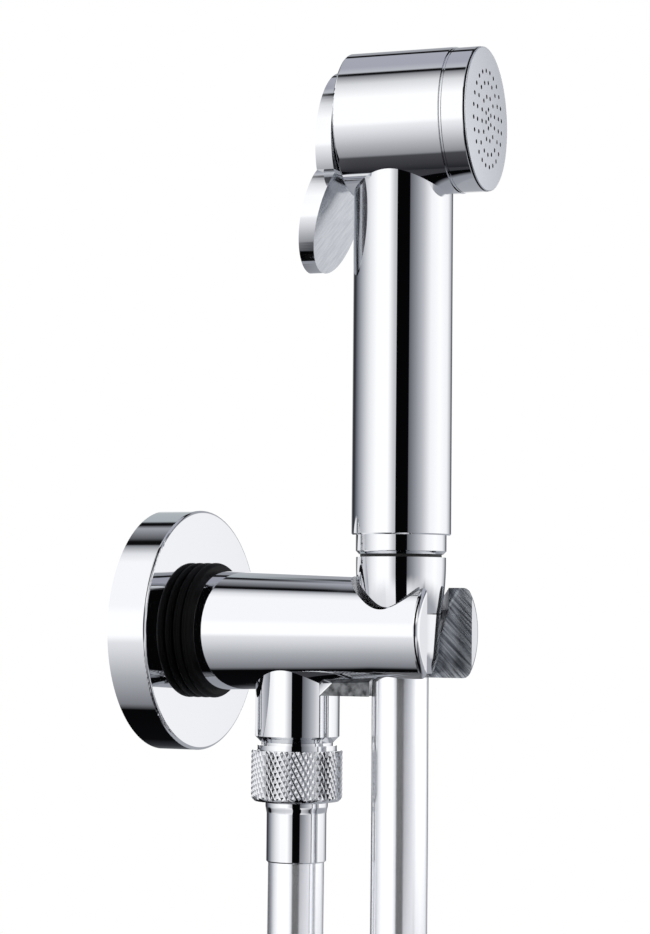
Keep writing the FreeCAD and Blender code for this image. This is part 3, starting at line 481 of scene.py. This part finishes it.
@dataclass
class SmoothedNode:
    """Copy of a CAD node with joined corners and true surface normals, which a mirror finish needs."""

    node: str
    body: Body
    finish: Finish
    axes: tuple[Axis, ...]
    sharp_deg: float = 24.0

    def mesh(self, source: bpy.types.Object) -> bpy.types.Mesh:
        """Copies the node's mesh, merges its loose triangles and gives it its sharp edges and normals.

        Args:
            source: the CAD node.

        Returns:
            The copied mesh.
        """
        copied = source.data.copy()
        work = bmesh.new()
        work.from_mesh(copied)
        bmesh.ops.remove_doubles(work, verts=work.verts, dist=MERGE_MM * MM)
        bmesh.ops.dissolve_degenerate(work, edges=work.edges, dist=MERGE_MM / 2 * MM)
        work.to_mesh(copied)
        work.free()
        copied.polygons.foreach_set("use_smooth", [True] * len(copied.polygons))
        copied.set_sharp_from_angle(angle=math.radians(self.sharp_deg))
        copied.normals_split_custom_set(self.true_normals(copied))
        return copied

    def facets(self, mesh: bpy.types.Mesh, meeting: list[list[int]]) -> list[Facet]:
        """Finds the faces that are part of a turned surface.

        Args:
            mesh: the merged mesh.
            meeting: numbers of the faces that meet at each corner point.

        Returns:
            Every face's facet, None also where a turned one lies in one plane with one that isn't.
        """
        found: list[Facet] = []
        for face in mesh.polygons:
            corners = [mesh.vertices[v].co for v in face.vertices]
            slopes = ((axis, axis.slope(corners, face.normal)) for axis in self.axes)
            found.append(next(((axis, slope) for axis, slope in slopes if slope is not None), None))
        waiting = [number for number, facet in enumerate(found) if facet is None]
        while waiting:
            face = mesh.polygons[waiting.pop()]
            for other in {f for v in face.vertices for f in meeting[v]}:
                if found[other] and mesh.polygons[other].normal.dot(face.normal) > ONE_PLANE:
                    found[other] = None
                    waiting.append(other)
        return found

    def shared_slope(
        self, mesh: bpy.types.Mesh, number: int, facets: list[Facet], around: list[int]
    ) -> float:
        """Works out the slope at one corner of a turned face.

        A cylinder or flat end keeps its own slope and draws its neighbours to it. Bevels share their mean.

        Args:
            mesh: the merged mesh.
            number: the face's number.
            facets: every face's facet.
            around: numbers of the faces that meet at the corner.

        Returns:
            The slope in radians.
        """
        axis, slope = facets[number]
        if is_plain(slope):
            return slope
        shared = [(slope, mesh.polygons[number].area)]
        for other in around:
            beside = facets[other]
            if beside and beside[0] == axis and abs(beside[1] - slope) < math.radians(self.sharp_deg):
                shared.append((beside[1], mesh.polygons[other].area))
        used = [item for item in shared if is_plain(item[0])] or shared
        return sum(angle * area for angle, area in used) / max(sum(area for _, area in used), LEAST_AREA)

    def true_normals(self, mesh: bpy.types.Mesh) -> list[Vector]:
        """Works out every corner's normal: turned faces from their axis, flat faces from themselves.

        Args:
            mesh: the merged mesh with its sharp edges.

        Returns:
            One unit vector for each corner of the mesh.
        """
        meeting: list[list[int]] = [[] for _ in mesh.vertices]
        for face in mesh.polygons:
            for v in face.vertices:
                meeting[v].append(face.index)
        facets = self.facets(mesh, meeting)
        normals = [item.vector.copy() for item in mesh.corner_normals]
        for face in mesh.polygons:
            facet = facets[face.index]
            for loop, v in zip(face.loop_indices, face.vertices):
                if facet is None:
                    near = [mesh.polygons[f].normal for f in meeting[v] if f != face.index]
                    if any(normal.dot(face.normal) > ONE_PLANE for normal in near):
                        normals[loop] = face.normal.copy()
                    continue
                along = Vector(facet[0].along)
                slope = self.shared_slope(mesh, face.index, facets, meeting[v])
                way, radius = facet[0].out(mesh.vertices[v].co)
                if radius < ON_AXIS_MM * MM:
                    normals[loop] = along * math.copysign(1.0, slope)
                else:
                    normals[loop] = (way * math.cos(slope) + along * math.sin(slope)).normalized()
        return normals

    def build(
        self,
        nodes: dict[str, bpy.types.Object],
        others: Sequence[Finish] = (),
        chooser: Callable[[Vector, Vector], int] | None = None,
    ) -> bpy.types.Object:
        """Makes the copy and lets it stand for the node.

        Args:
            nodes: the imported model's nodes by name.
            others: further finishes for some of the faces.
            chooser: gives the number of a face's finish from its centre, in metres, and its normal.

        Returns:
            The new object.
        """
        made = piece(self.node + "_skin", self.mesh(nodes[self.node]), self.body, [self.finish, *others])
        if chooser:
            for face in made.data.polygons:
                face.material_index = chooser(face.center, face.normal)
        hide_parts(self.node)
        log.info("%s: %d faces", made.name, len(made.data.polygons))
        return made


@dataclass
class Hose:
    """Hose that leaves the ferrule, hangs in a loop and comes up into the cone."""

    diameter_mm: float = 14.5
    length_mm: float = 970.0
    steps_round: int = 14
    steps_along: int = 24
    route_mm: tuple[tuple[float, float, float], ...] = (
        (0.0, -39.0, -44.8),
        (0.0, -39.0, -72.0),
        (-0.6, -39.0, -118.0),
        (-30.0, -41.0, -190.0),
        (-83.0, -44.0, -292.0),
        (-83.0, -47.0, -386.0),
        (-51.3, -50.0, -429.7),
        (0.0, -53.5, -446.4),
        (51.3, -57.0, -429.7),
        (83.0, -60.0, -386.0),
        (83.0, -63.0, -300.0),
        (26.0, -66.0, -217.0),
        (0.0, -68.0, -105.0),
        (0.3, -68.0, -48.0),
        (0.0, -68.0, -18.0),
        (0.0, -68.0, 2.15),
    )

    def build(self) -> None:
        curve = bpy.data.curves.new("hose_jacket", "CURVE")
        curve.dimensions = "3D"
        curve.bevel_depth = self.diameter_mm / 2 * MM
        curve.bevel_resolution = self.steps_round
        curve.use_fill_caps = True
        curve.resolution_u = self.steps_along
        spline = curve.splines.new("NURBS")
        spline.points.add(len(self.route_mm) - 1)
        for point, (x, y, z) in zip(spline.points, self.route_mm):
            point.co = (x * MM, y * MM, z * MM, 1.0)
        spline.order_u = 3
        spline.use_endpoint_u = True
        made = bpy.data.objects.new("hose_jacket", curve)
        curve.materials.append(HOSE_VINYL.material())
        bpy.context.scene.collection.objects.link(made)
        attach(made, Body.BRACKET.value)
        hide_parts("hose")
        log.info("hose: %d route points", len(self.route_mm))


# Headings or rolls in degrees, each with the tent's colour there
Stops = tuple[tuple[float, str], ...]


@dataclass(frozen=True)
class Tent:
    """Light tent of white and grey panels with dark seams, open and dark where the camera looks in.

    The panels round the shower follow the heading, from the front's direction. Those above and below follow
    the roll about the arm, and are different for surfaces that face out along the arm and back along it.
    Pairs of numbers are where a change starts and ends, in parts of a unit direction, and the opening's
    pair is its two sides.
    """

    strength: float = 1.26
    front: tuple[float, float] = (-0.9049, -0.4256)
    opening: tuple[float, float] = (-0.632, -0.177)
    opening_edge: float = 0.012
    opening_side: tuple[float, float] = (0.0, -0.06)
    opening_colour: str = "050506"
    above: tuple[float, float] = (0.2, 0.36)
    below: tuple[float, float] = (-0.06, -0.2)
    arm_lean: float = -0.092
    arm_from: tuple[float, float] = (0.335, 0.385)
    around: Stops = (
        (-180.0, "ffffff"),
        (-155.0, "2b2c31"),
        (-140.0, "35373d"),
        (-124.0, "7c7f87"),
        (-105.0, "b2b4b9"),
        (-82.0, "e6e7e9"),
        (-62.0, "ffffff"),
        (-34.0, "ffffff"),
        (-20.0, "c2c3c7"),
        (14.0, "5c5e64"),
        (30.0, "8e9096"),
        (48.0, "bcbdc2"),
        (68.0, "f2f2f4"),
        (95.0, "ffffff"),
        (126.0, "f0f0f2"),
        (144.0, "b4b6bb"),
        (154.0, "5c5e64"),
        (172.0, "5c5e64"),
        (180.0, "ffffff"),
    )
    over_head: Stops = (
        (-180.0, "9fa1a7"),
        (-104.0, "999ba1"),
        (-88.0, "212226"),
        (-76.0, "38383c"),
        (-60.0, "464649"),
        (-57.0, "8a8b90"),
        (-40.0, "b0b1b5"),
        (-18.0, "dfdfe2"),
        (2.0, "ffffff"),
        (34.0, "ffffff"),
        (58.0, "d6d7d9"),
        (73.0, "7f8085"),
        (75.0, "0b0b0d"),
        (79.0, "0b0b0d"),
        (81.0, "b8bac0"),
        (94.0, "a3a5af"),
        (126.0, "a3a5af"),
        (128.0, "0d0d0f"),
        (135.0, "0d0d0f"),
        (138.0, "96989e"),
        (180.0, "9fa1a7"),
    )
    over_arm: Stops = (
        (-180.0, "6a6d70"),
        (-150.0, "2e2f33"),
        (-132.0, "0a0a0c"),
        (-83.0, "060607"),
        (-76.0, "787a7f"),
        (-46.0, "a8aaae"),
        (-20.0, "d5d6d9"),
        (8.0, "f6f6f8"),
        (68.0, "f6f6f8"),
        (78.0, "dfe0e3"),
        (88.0, "86888e"),
        (90.0, "0d0d0f"),
        (95.0, "0d0d0f"),
        (99.0, "5a5c60"),
        (115.0, "9b9da3"),
        (121.0, "0d0d0f"),
        (126.0, "0d0d0f"),
        (129.0, "a4abaf"),
        (180.0, "acb1b4"),
    )

    def panels(self, sheet: NodeSheet, angle: bpy.types.Node, stops: Stops) -> bpy.types.Node:
        """Sets up one row of panels.

        Args:
            sheet: the world's nodes.
            angle: gives the angle that the row follows, in radians.
            stops: the row's colours.

        Returns:
            The node that gives the row's colour.
        """
        place = sheet.add("ShaderNodeMapRange", in0=angle, in1=-math.pi, in2=math.pi, in3=0.0, in4=1.0)
        made = sheet.add("ShaderNodeValToRGB", Fac=place)
        elements = made.color_ramp.elements
        while len(elements) < len(stops):
            elements.new(0.5)
        for element, (degrees, _) in zip(elements, stops):
            element.position = (degrees + 180.0) / 360.0
        for element, (_, colour) in zip(elements, stops):
            element.color = linear(colour)
        return made

    def build(self) -> None:
        """Makes the world: plain white to the camera and to matt surfaces, the tent to every other ray."""
        world = bpy.data.worlds.new("light_tent")
        world.use_nodes = True
        world.node_tree.nodes.clear()
        sheet = NodeSheet(world.node_tree)
        way = sheet.add("ShaderNodeTexCoord").outputs["Generated"]
        x, y, z = sheet.add("ShaderNodeSeparateXYZ", in0=way).outputs
        front_x, front_y = self.front
        dots = [
            sheet.add("ShaderNodeVectorMath", {"operation": "DOT_PRODUCT"}, in0=way, in1=line)
            for line in ((front_x, front_y, 0.0), (-front_y, front_x, 0.0), (self.arm_lean, 1.0, 0.0))
        ]
        along, across, lean = (dot.outputs["Value"] for dot in dots)
        heading = sheet.add("ShaderNodeMath", {"operation": "ARCTAN2"}, in0=across, in1=along)
        left = sheet.add("ShaderNodeMath", {"operation": "MULTIPLY"}, in0=x, in1=-1.0)
        roll = sheet.add("ShaderNodeMath", {"operation": "ARCTAN2"}, in0=z, in1=left)
        low, high = self.opening
        edge = self.opening_edge
        at_arm, above, below, after, before, side = (
            sheet.add(
                "ShaderNodeMapRange", {"interpolation_type": "SMOOTHSTEP"}, in0=value, in1=start, in2=end
            )
            for value, (start, end) in (
                (lean, self.arm_from),
                (z, self.above),
                (z, self.below),
                (y, (low - edge, low + edge)),
                (y, (high + edge, high - edge)),
                (x, self.opening_side),
            )
        )
        away = sheet.add("ShaderNodeMath", {"operation": "MAXIMUM"}, in0=above, in1=below)
        inside = sheet.add("ShaderNodeMath", {"operation": "MULTIPLY"}, in0=after, in1=before)
        opened = sheet.add("ShaderNodeMath", {"operation": "MULTIPLY"}, in0=inside, in1=side)
        around = self.panels(sheet, heading, self.around)
        head = self.panels(sheet, roll, self.over_head)
        arm = self.panels(sheet, roll, self.over_arm)
        dark = linear(self.opening_colour)
        colours = {"data_type": "RGBA"}
        over = sheet.add("ShaderNodeMix", colours, in0=at_arm, in6=head, in7=arm).outputs[2]
        closed = sheet.add("ShaderNodeMix", colours, in0=away, in6=around, in7=over).outputs[2]
        tent = sheet.add("ShaderNodeMix", colours, in0=opened, in6=closed, in7=dark).outputs[2]
        lit = sheet.add("ShaderNodeBackground", Color=tent, Strength=self.strength)
        white = sheet.add("ShaderNodeBackground", Color=(1.0, 1.0, 1.0, 1.0), Strength=1.0)
        ray = sheet.add("ShaderNodeLightPath").outputs
        direct = sheet.add(
            "ShaderNodeMath", {"operation": "MAXIMUM"}, in0=ray["Is Camera Ray"], in1=ray["Is Diffuse Ray"]
        )
        both = sheet.add("ShaderNodeMixShader", in0=direct, in1=lit, in2=white)
        sheet.add("ShaderNodeOutputWorld", Surface=both)
        bpy.context.scene.world = world


@dataclass(frozen=True)
class Studio:
    """Camera, floor and lamp round the shower."""

    target_mm: tuple[float, float, float] = (0.0, -52.5, 0.0)
    distance_mm: float = 669.9
    azimuth_deg: float = -64.807
    elevation_deg: float = 0.462
    pan_deg: float = 0.478
    pitch_deg: float = -3.161
    roll_deg: float = 0.508
    lens_mm: float = 100.214
    sensor_mm: float = 36.0
    clip_m: tuple[float, float] = (0.02, 20.0)
    floor_middle_mm: tuple[float, float, float] = (0.0, -50.0, -475.0)
    floor_radius_mm: float = 1150.0
    floor_sides: int = 96
    lamp_m: tuple[float, float, float] = (-0.5, -0.9, 1.1)
    lamp_aim_m: tuple[float, float, float] = (0.0, -0.05, 0.0)
    lamp_size_m: float = 0.9
    lamp_power_w: float = 7.0

    def camera(self) -> None:
        """Stands the camera where the photograph was taken from."""
        az, el = math.radians(self.azimuth_deg), math.radians(self.elevation_deg)
        back = Vector((math.sin(az) * math.cos(el), -math.cos(az) * math.cos(el), math.sin(el)))
        az, el = math.radians(self.azimuth_deg + self.pan_deg), math.radians(self.pitch_deg)
        forward = Vector((-math.sin(az) * math.cos(el), math.cos(az) * math.cos(el), -math.sin(el)))
        right = forward.cross(Vector((0.0, 0.0, 1.0))).normalized()
        up = right.cross(forward)
        roll = math.radians(self.roll_deg)
        right, up = (
            right * math.cos(roll) + up * math.sin(roll),
            up * math.cos(roll) - right * math.sin(roll),
        )
        lens = bpy.data.cameras.new("camera")
        lens.lens = self.lens_mm
        lens.sensor_width = self.sensor_mm
        lens.clip_start, lens.clip_end = self.clip_m
        made = bpy.data.objects.new("camera", lens)
        bpy.context.scene.collection.objects.link(made)
        place = (Vector(self.target_mm) + back * self.distance_mm) * MM
        made.matrix_world = Matrix.Translation(place) @ Matrix((right, up, -forward)).transposed().to_4x4()
        bpy.context.scene.camera = made

    def floor(self) -> None:
        """Lays a pale round floor below the hanging hose."""
        work = bmesh.new()
        bmesh.ops.create_circle(
            work,
            cap_ends=True,
            segments=self.floor_sides,
            radius=self.floor_radius_mm * MM,
            matrix=Matrix.Translation(Vector(self.floor_middle_mm) * MM),
        )
        mesh = bpy.data.meshes.new("floor")
        work.to_mesh(mesh)
        work.free()
        mesh.materials.append(PAPER.material())
        made = bpy.data.objects.new("floor", mesh)
        bpy.context.scene.collection.objects.link(made)
        made.visible_glossy = False

    def lamp(self) -> None:
        """Hangs one broad soft lamp that gives matt surfaces a gentle side."""
        area = bpy.data.lights.new("soft_lamp", "AREA")
        area.shape = "DISK"
        area.size = self.lamp_size_m
        area.energy = self.lamp_power_w
        made = bpy.data.objects.new("soft_lamp", area)
        bpy.context.scene.collection.objects.link(made)
        made.location = self.lamp_m
        made.rotation_mode = "QUATERNION"
        made.rotation_quaternion = (made.location - Vector(self.lamp_aim_m)).to_track_quat("Z", "Y")
        made.visible_glossy = False

    def build(self) -> None:
        """Sets up camera, floor, lamp and tent."""
        self.camera()
        self.floor()
        self.lamp()
        Tent().build()
        bpy.context.scene.view_settings.view_transform = "Standard"


@dataclass
class Bracket:
    """Wall flange, arm, neck and the hose's fittings, which stay still."""

    nodes: dict[str, bpy.types.Object]
    slot_half_mm: float = 7.9
    slot_spread_mm: float = 0.1
    slot_normal: float = 0.98
    mouth_radius_mm: float = 12.7
    mouth_spread_mm: float = 0.3
    mouth_rise: float = 0.1
    web_top_mm: float = -13.0
    web_rear_mm: float = -50.2
    web_half_mm: float = 6.2
    skins: tuple[tuple[str, Axis], ...] = (
        ("wall_flange", ARM_AXIS),
        ("collar_ring", ARM_AXIS),
        ("outlet_nipple", NECK_AXIS),
        ("outlet_ferrule", NECK_AXIS),
        ("swivel_cone", HANDLE_AXIS),
    )

    def arm_finish(self, centre: Vector, normal: Vector) -> int:
        """Chooses between the arm's finishes.

        Args:
            centre: a face's centre in metres.
            normal: its normal.

        Returns:
            1 on the slot's milled walls, 2 on its mouth's wall, 3 on the web, whose finish carries painted
            shade, 0 elsewhere.
        """
        x, y, z = centre / MM
        if abs(normal.x) > self.slot_normal and abs(abs(x) - self.slot_half_mm) < self.slot_spread_mm:
            return 1
        # Faces of the web under the arm get the darker finish that paints shade there
        if z < self.web_top_mm and y < self.web_rear_mm and abs(x) < self.web_half_mm:
            return 3
        _, radius = HANDLE_AXIS.out(centre)
        in_mouth = abs(radius / MM - self.mouth_radius_mm) < self.mouth_spread_mm
        return 2 if in_mouth and abs(normal.z) < self.mouth_rise else 0

    def build(self) -> None:
        """Dresses the bracket's pieces."""
        for node, axis in self.skins:
            SmoothedNode(node, Body.BRACKET, NODE_FINISHES[node], (axis,)).build(self.nodes)
        arm = SmoothedNode("bracket_body", Body.BRACKET, CHROME, (ARM_AXIS, NECK_AXIS, HANDLE_AXIS))
        # The third further finish paints shade on the web under the arm
        arm.build(self.nodes, (CHROME_MILLED, CHROME_SOFT, CHROME_CAST_PAINTED_SHADE), self.arm_finish)


# Sums of the knurl's lattice in order: name of the result, operation, and the names or numbers that go in.
# Every second row stands half a column on, and the rows climb as they run round, as a rolled knurl's do
LATTICE_SUMS: tuple[tuple[Any, ...], ...] = (
    ("count", "MULTIPLY", "Columns", "Rows"),
    ("rows passed", "DIVIDE", "index", "Columns"),
    ("row", "FLOOR", "rows passed"),
    ("points passed", "MULTIPLY", "row", "Columns"),
    ("column", "SUBTRACT", "index", "points passed"),
    ("odd", "MODULO", "row", 2.0),
    ("step", "MULTIPLY_ADD", "column", 2.0, "odd"),
    ("arc", "MULTIPLY", "step", math.pi),
    ("turn", "DIVIDE", "arc", "Columns"),
    ("level", "MULTIPLY", "row", 0.5),
    ("climb", "DIVIDE", "step", "Steps per pitch"),
    ("depth", "SUBTRACT", "level", "climb"),
    ("full depth", "MULTIPLY", "Rows", 0.5),
    ("wrapped", "FLOORED_MODULO", "depth", "full depth"),
    ("drop", "MULTIPLY", "wrapped", "Pitch"),
    ("z", "SUBTRACT", "Top", "drop"),
    ("cosine", "COSINE", "turn"),
    ("sine", "SINE", "turn"),
    ("x", "MULTIPLY", "Root radius", "cosine"),
    ("y", "MULTIPLY", "Root radius", "sine"),
    ("half pitch", "MULTIPLY", "Pitch", 0.5),
    ("slide", "MULTIPLY", "corner y", "Shear"),
)


@dataclass
class KnurledNut:
    """Union nut with its knurl, a lattice of small pyramids that runs round it in two slopes."""

    nodes: dict[str, bpy.types.Object]
    axis_mm: tuple[float, float] = (0.0, -39.0)
    columns: int = 56
    rows: int = 10
    pitch_mm: float = 2.7
    steps_per_pitch: float = 16.0
    first_row: float = 0.1
    tip_radius_mm: float = 11.8
    root_radius_mm: float = 11.42
    sunk_mm: float = 0.04
    half_width_mm: float = 0.664
    tip_share: float = 0.14
    shear: float = -0.256
    top_mm: float = -30.6
    bottom_mm: float = -43.7
    top_bevel_mm: float = 0.3
    bottom_bevel_mm: float = 0.9

    def settings(self) -> dict[str, Any]:
        """Gathers what the lattice is given.

        Returns:
            Value of each of the node group's inputs, by name.
        """
        foot_mm = self.root_radius_mm - self.sunk_mm
        return {
            "Columns": self.columns,
            "Rows": self.rows,
            "Pitch": self.pitch_mm * MM,
            "Steps per pitch": self.steps_per_pitch,
            "Root radius": foot_mm * MM,
            "Tooth height": (self.tip_radius_mm - foot_mm) * MM,
            "Half width": self.half_width_mm * MM,
            "Shear": self.shear,
            "Top": (self.top_mm + self.pitch_mm * self.first_row) * MM,
            "Finish": CHROME_KNURL.material(),
        }

    def lattice(self, names: Sequence[str]) -> bpy.types.NodeTree:
        """Makes the node group that stands a pyramid on every point of the lattice and dresses them.

        Args:
            names: names of the group's inputs.

        Returns:
            The node group.
        """
        tree = bpy.data.node_groups.new("knurl_lattice", "GeometryNodeTree")
        kinds = {"Geometry": "Geometry", "Columns": "Int", "Rows": "Int", "Finish": "Material"}
        for name in ("Geometry", *names):
            socket_type = "NodeSocket" + kinds.get(name, "Float")
            tree.interface.new_socket(name, in_out="INPUT", socket_type=socket_type)
        tree.interface.new_socket("Geometry", in_out="OUTPUT", socket_type="NodeSocketGeometry")
        sheet = NodeSheet(tree)
        given = sheet.add("NodeGroupInput").outputs
        corner = sheet.add("ShaderNodeSeparateXYZ", in0=sheet.add("GeometryNodeInputPosition"))
        known: dict[Any, Any] = {name: given[name] for name in names}
        known["index"] = sheet.add("GeometryNodeInputIndex")
        known["corner y"] = corner.outputs[1]
        for result, operation, *values in LATTICE_SUMS:
            links = {f"in{number}": known.get(value, value) for number, value in enumerate(values)}
            known[result] = sheet.add("ShaderNodeMath", {"operation": operation}, **links)
        points = sheet.add("GeometryNodeMeshLine", Count=known["count"])
        place = sheet.add("ShaderNodeCombineXYZ", in0=known["x"], in1=known["y"], in2=known["z"])
        placed = sheet.add("GeometryNodeSetPosition", Geometry=points, Position=place)
        tooth = sheet.add(
            "GeometryNodeMeshCone",
            {"fill_type": "NGON"},
            Vertices=4,
            Radius_Top=self.tip_share,
            Radius_Bottom=1.0,
            Depth=1.0,
        )
        laid = sheet.add("GeometryNodeTransform", Geometry=tooth, Rotation=(0.0, math.pi / 2, 0.0))
        size = sheet.add(
            "ShaderNodeCombineXYZ",
            in0=known["Tooth height"],
            in1=known["Half width"],
            in2=known["half pitch"],
        )
        sized = sheet.add("GeometryNodeTransform", Geometry=laid, Scale=size)
        slid = sheet.add("ShaderNodeCombineXYZ", in2=known["slide"])
        sheared = sheet.add("GeometryNodeSetPosition", Geometry=sized, Offset=slid)
        facing = sheet.add("ShaderNodeCombineXYZ", in2=known["turn"])
        stood = sheet.add("GeometryNodeInstanceOnPoints", Points=placed, Instance=sheared, Rotation=facing)
        solid = sheet.add("GeometryNodeRealizeInstances", Geometry=stood)
        dressed = sheet.add("GeometryNodeSetMaterial", Geometry=solid, Material=known["Finish"])
        sheet.add("NodeGroupOutput", in0=dressed)
        return tree

    def trim(self, work: bmesh.types.BMesh) -> None:
        """Cuts the teeth to the nut's height, bevels its ends and moves them to the nut's place.

        Args:
            work: the teeth, standing round an axis through the origin.
        """
        top, bottom, tip = self.top_mm * MM, self.bottom_mm * MM, self.tip_radius_mm * MM
        for level, way in ((top, 1.0), (bottom, -1.0)):
            cut = bmesh.ops.bisect_plane(
                work,
                geom=work.verts[:] + work.edges[:] + work.faces[:],
                plane_co=(0.0, 0.0, level),
                plane_no=(0.0, 0.0, way),
                clear_outer=True,
            )
            rims = [item for item in cut["geom_cut"] if isinstance(item, bmesh.types.BMEdge)]
            bmesh.ops.edgeloop_fill(work, edges=rims)
        for corner in work.verts:
            radius = math.hypot(corner.co.x, corner.co.y)
            at_top = tip - self.top_bevel_mm * MM + top - corner.co.z
            at_bottom = tip - self.bottom_bevel_mm * MM + corner.co.z - bottom
            share = min(radius, tip, at_top, at_bottom) / radius
            corner.co.x = corner.co.x * share + self.axis_mm[0] * MM
            corner.co.y = corner.co.y * share + self.axis_mm[1] * MM

    def teeth(self) -> bpy.types.Mesh:
        """Evaluates the lattice and trims it.

        Returns:
            The teeth as a mesh in place.
        """
        host = bpy.data.objects.new("knurl_host", bpy.data.meshes.new("knurl_host"))
        bpy.context.scene.collection.objects.link(host)
        modifier = host.modifiers.new("knurl", "NODES")
        settings = self.settings()
        modifier.node_group = self.lattice(tuple(settings))
        for item in modifier.node_group.interface.items_tree:
            if item.in_out == "INPUT" and item.name in settings:
                modifier[item.identifier] = settings[item.name]
        graph = bpy.context.evaluated_depsgraph_get()
        mesh = bpy.data.meshes.new_from_object(host.evaluated_get(graph), depsgraph=graph)
        bpy.data.objects.remove(host)
        work = bmesh.new()
        work.from_mesh(mesh)
        self.trim(work)
        work.to_mesh(mesh)
        work.free()
        return mesh

    def build(self) -> None:
        """Builds the nut's body below the teeth, then the teeth."""
        body = SmoothedNode("union_nut", Body.BRACKET, CHROME, (NECK_AXIS,)).build(self.nodes)
        cx, cy = (c * MM for c in self.axis_mm)
        for corner in body.data.vertices:
            radius = math.hypot(corner.co.x - cx, corner.co.y - cy)
            share = min(1.0, self.root_radius_mm * MM / radius)
            corner.co.x = cx + (corner.co.x - cx) * share
            corner.co.y = cy + (corner.co.y - cy) * share
        knurl = piece("union_nut_knurl", self.teeth(), Body.BRACKET, [CHROME_KNURL])
        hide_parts("union_nut")
        log.info("knurl: %d faces", len(knurl.data.polygons))


@dataclass
class Handset:
    """Handle, head, spray face and cone nut, which turn on the hose's end."""

    nodes: dict[str, bpy.types.Object]
    skins: tuple[tuple[str, tuple[Axis, ...]], ...] = (
        ("cone_nut", (HANDLE_AXIS,)),
        ("handset_body", (HEAD_AXIS, HANDLE_AXIS)),
        ("spray_cap", (HEAD_AXIS,)),
        ("plate_ring", (HEAD_AXIS,)),
    )
    groove_top_mm: float = 19.95
    holes_radius_mm: float = 13.0
    hole_normal: float = 0.5

    def spray_finish(self, centre: Vector, normal: Vector) -> int:
        """Chooses between the spray plate's finishes.

        Args:
            centre: a face's centre in metres.
            normal: its normal.

        Returns:
            1 on the walls of the holes, which get painted shade, 0 elsewhere.
        """
        _, radius = HEAD_AXIS.out(centre)
        in_wall = abs(normal.dot(Vector(FRONT))) < self.hole_normal
        return 1 if in_wall and radius < self.holes_radius_mm * MM else 0

    def plug_finish(self, centre: Vector, normal: Vector) -> int:
        """Chooses between the plug's finishes.

        Args:
            centre: a face's centre in metres.
            normal: its normal, which makes no difference here.

        Returns:
            1 in the groove below the plug's collar, which is painted black as shade, 0 elsewhere.
        """
        return 1 if centre.z < self.groove_top_mm * MM else 0

    def build(self) -> None:
        """Dresses the handset's pieces."""
        for node, axes in self.skins:
            SmoothedNode(node, Body.HANDSET, NODE_FINISHES[node], axes).build(self.nodes)
        spray = SmoothedNode("spray_plate", Body.HANDSET, SATIN_STEEL, (HEAD_AXIS,))
        # The walls of the spray holes get painted shade
        spray.build(self.nodes, (HOLE_WALL_PAINTED_SHADE,), self.spray_finish)
        plug = SmoothedNode("handle_plug", Body.HANDSET, CHROME, (HANDLE_AXIS,))
        # The groove below the collar gets painted shade
        plug.build(self.nodes, (GROOVE_PAINTED_SHADE,), self.plug_finish)


@dataclass
class Lever:
    """Round plate behind the head with its tilted paddle."""

    nodes: dict[str, bpy.types.Object]
    paddle_top_mm: float = 121.5
    inner_normal: float = 0.9

    def lever_finish(self, centre: Vector, normal: Vector) -> int:
        """Chooses between the lever's finishes.

        Args:
            centre: a face's centre in metres.
            normal: its normal.

        Returns:
            1 on the paddle's inner side, 2 on the plate's side to the head, 0 elsewhere.
        """
        if normal.dot(Vector(FRONT)) < self.inner_normal:
            return 0
        return 1 if centre.z < self.paddle_top_mm * MM else 2

    def build(self) -> None:
        """Dresses the lever."""
        plate = SmoothedNode("lever", Body.LEVER, CHROME, (PLATE_AXIS, PADDLE_AXIS))
        plate.build(self.nodes, (CHROME_SCRATCHED, CHROME_SOFT), self.lever_finish)


def main() -> None:
    """Builds the sub-assemblies in order."""
    logging.basicConfig(level=logging.INFO, format="%(name)s: %(message)s")
    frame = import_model()
    nodes = frame["nodes"]
    for name, node in nodes.items():
        if name in NODE_FINISHES:
            node.data.materials.clear()
            node.data.materials.append(NODE_FINISHES[name].material())
    Studio().build()
    Hose().build()
    Bracket(nodes).build()
    KnurledNut(nodes).build()
    Handset(nodes).build()
    Lever(nodes).build()


if __name__ == "__main__":
    main()
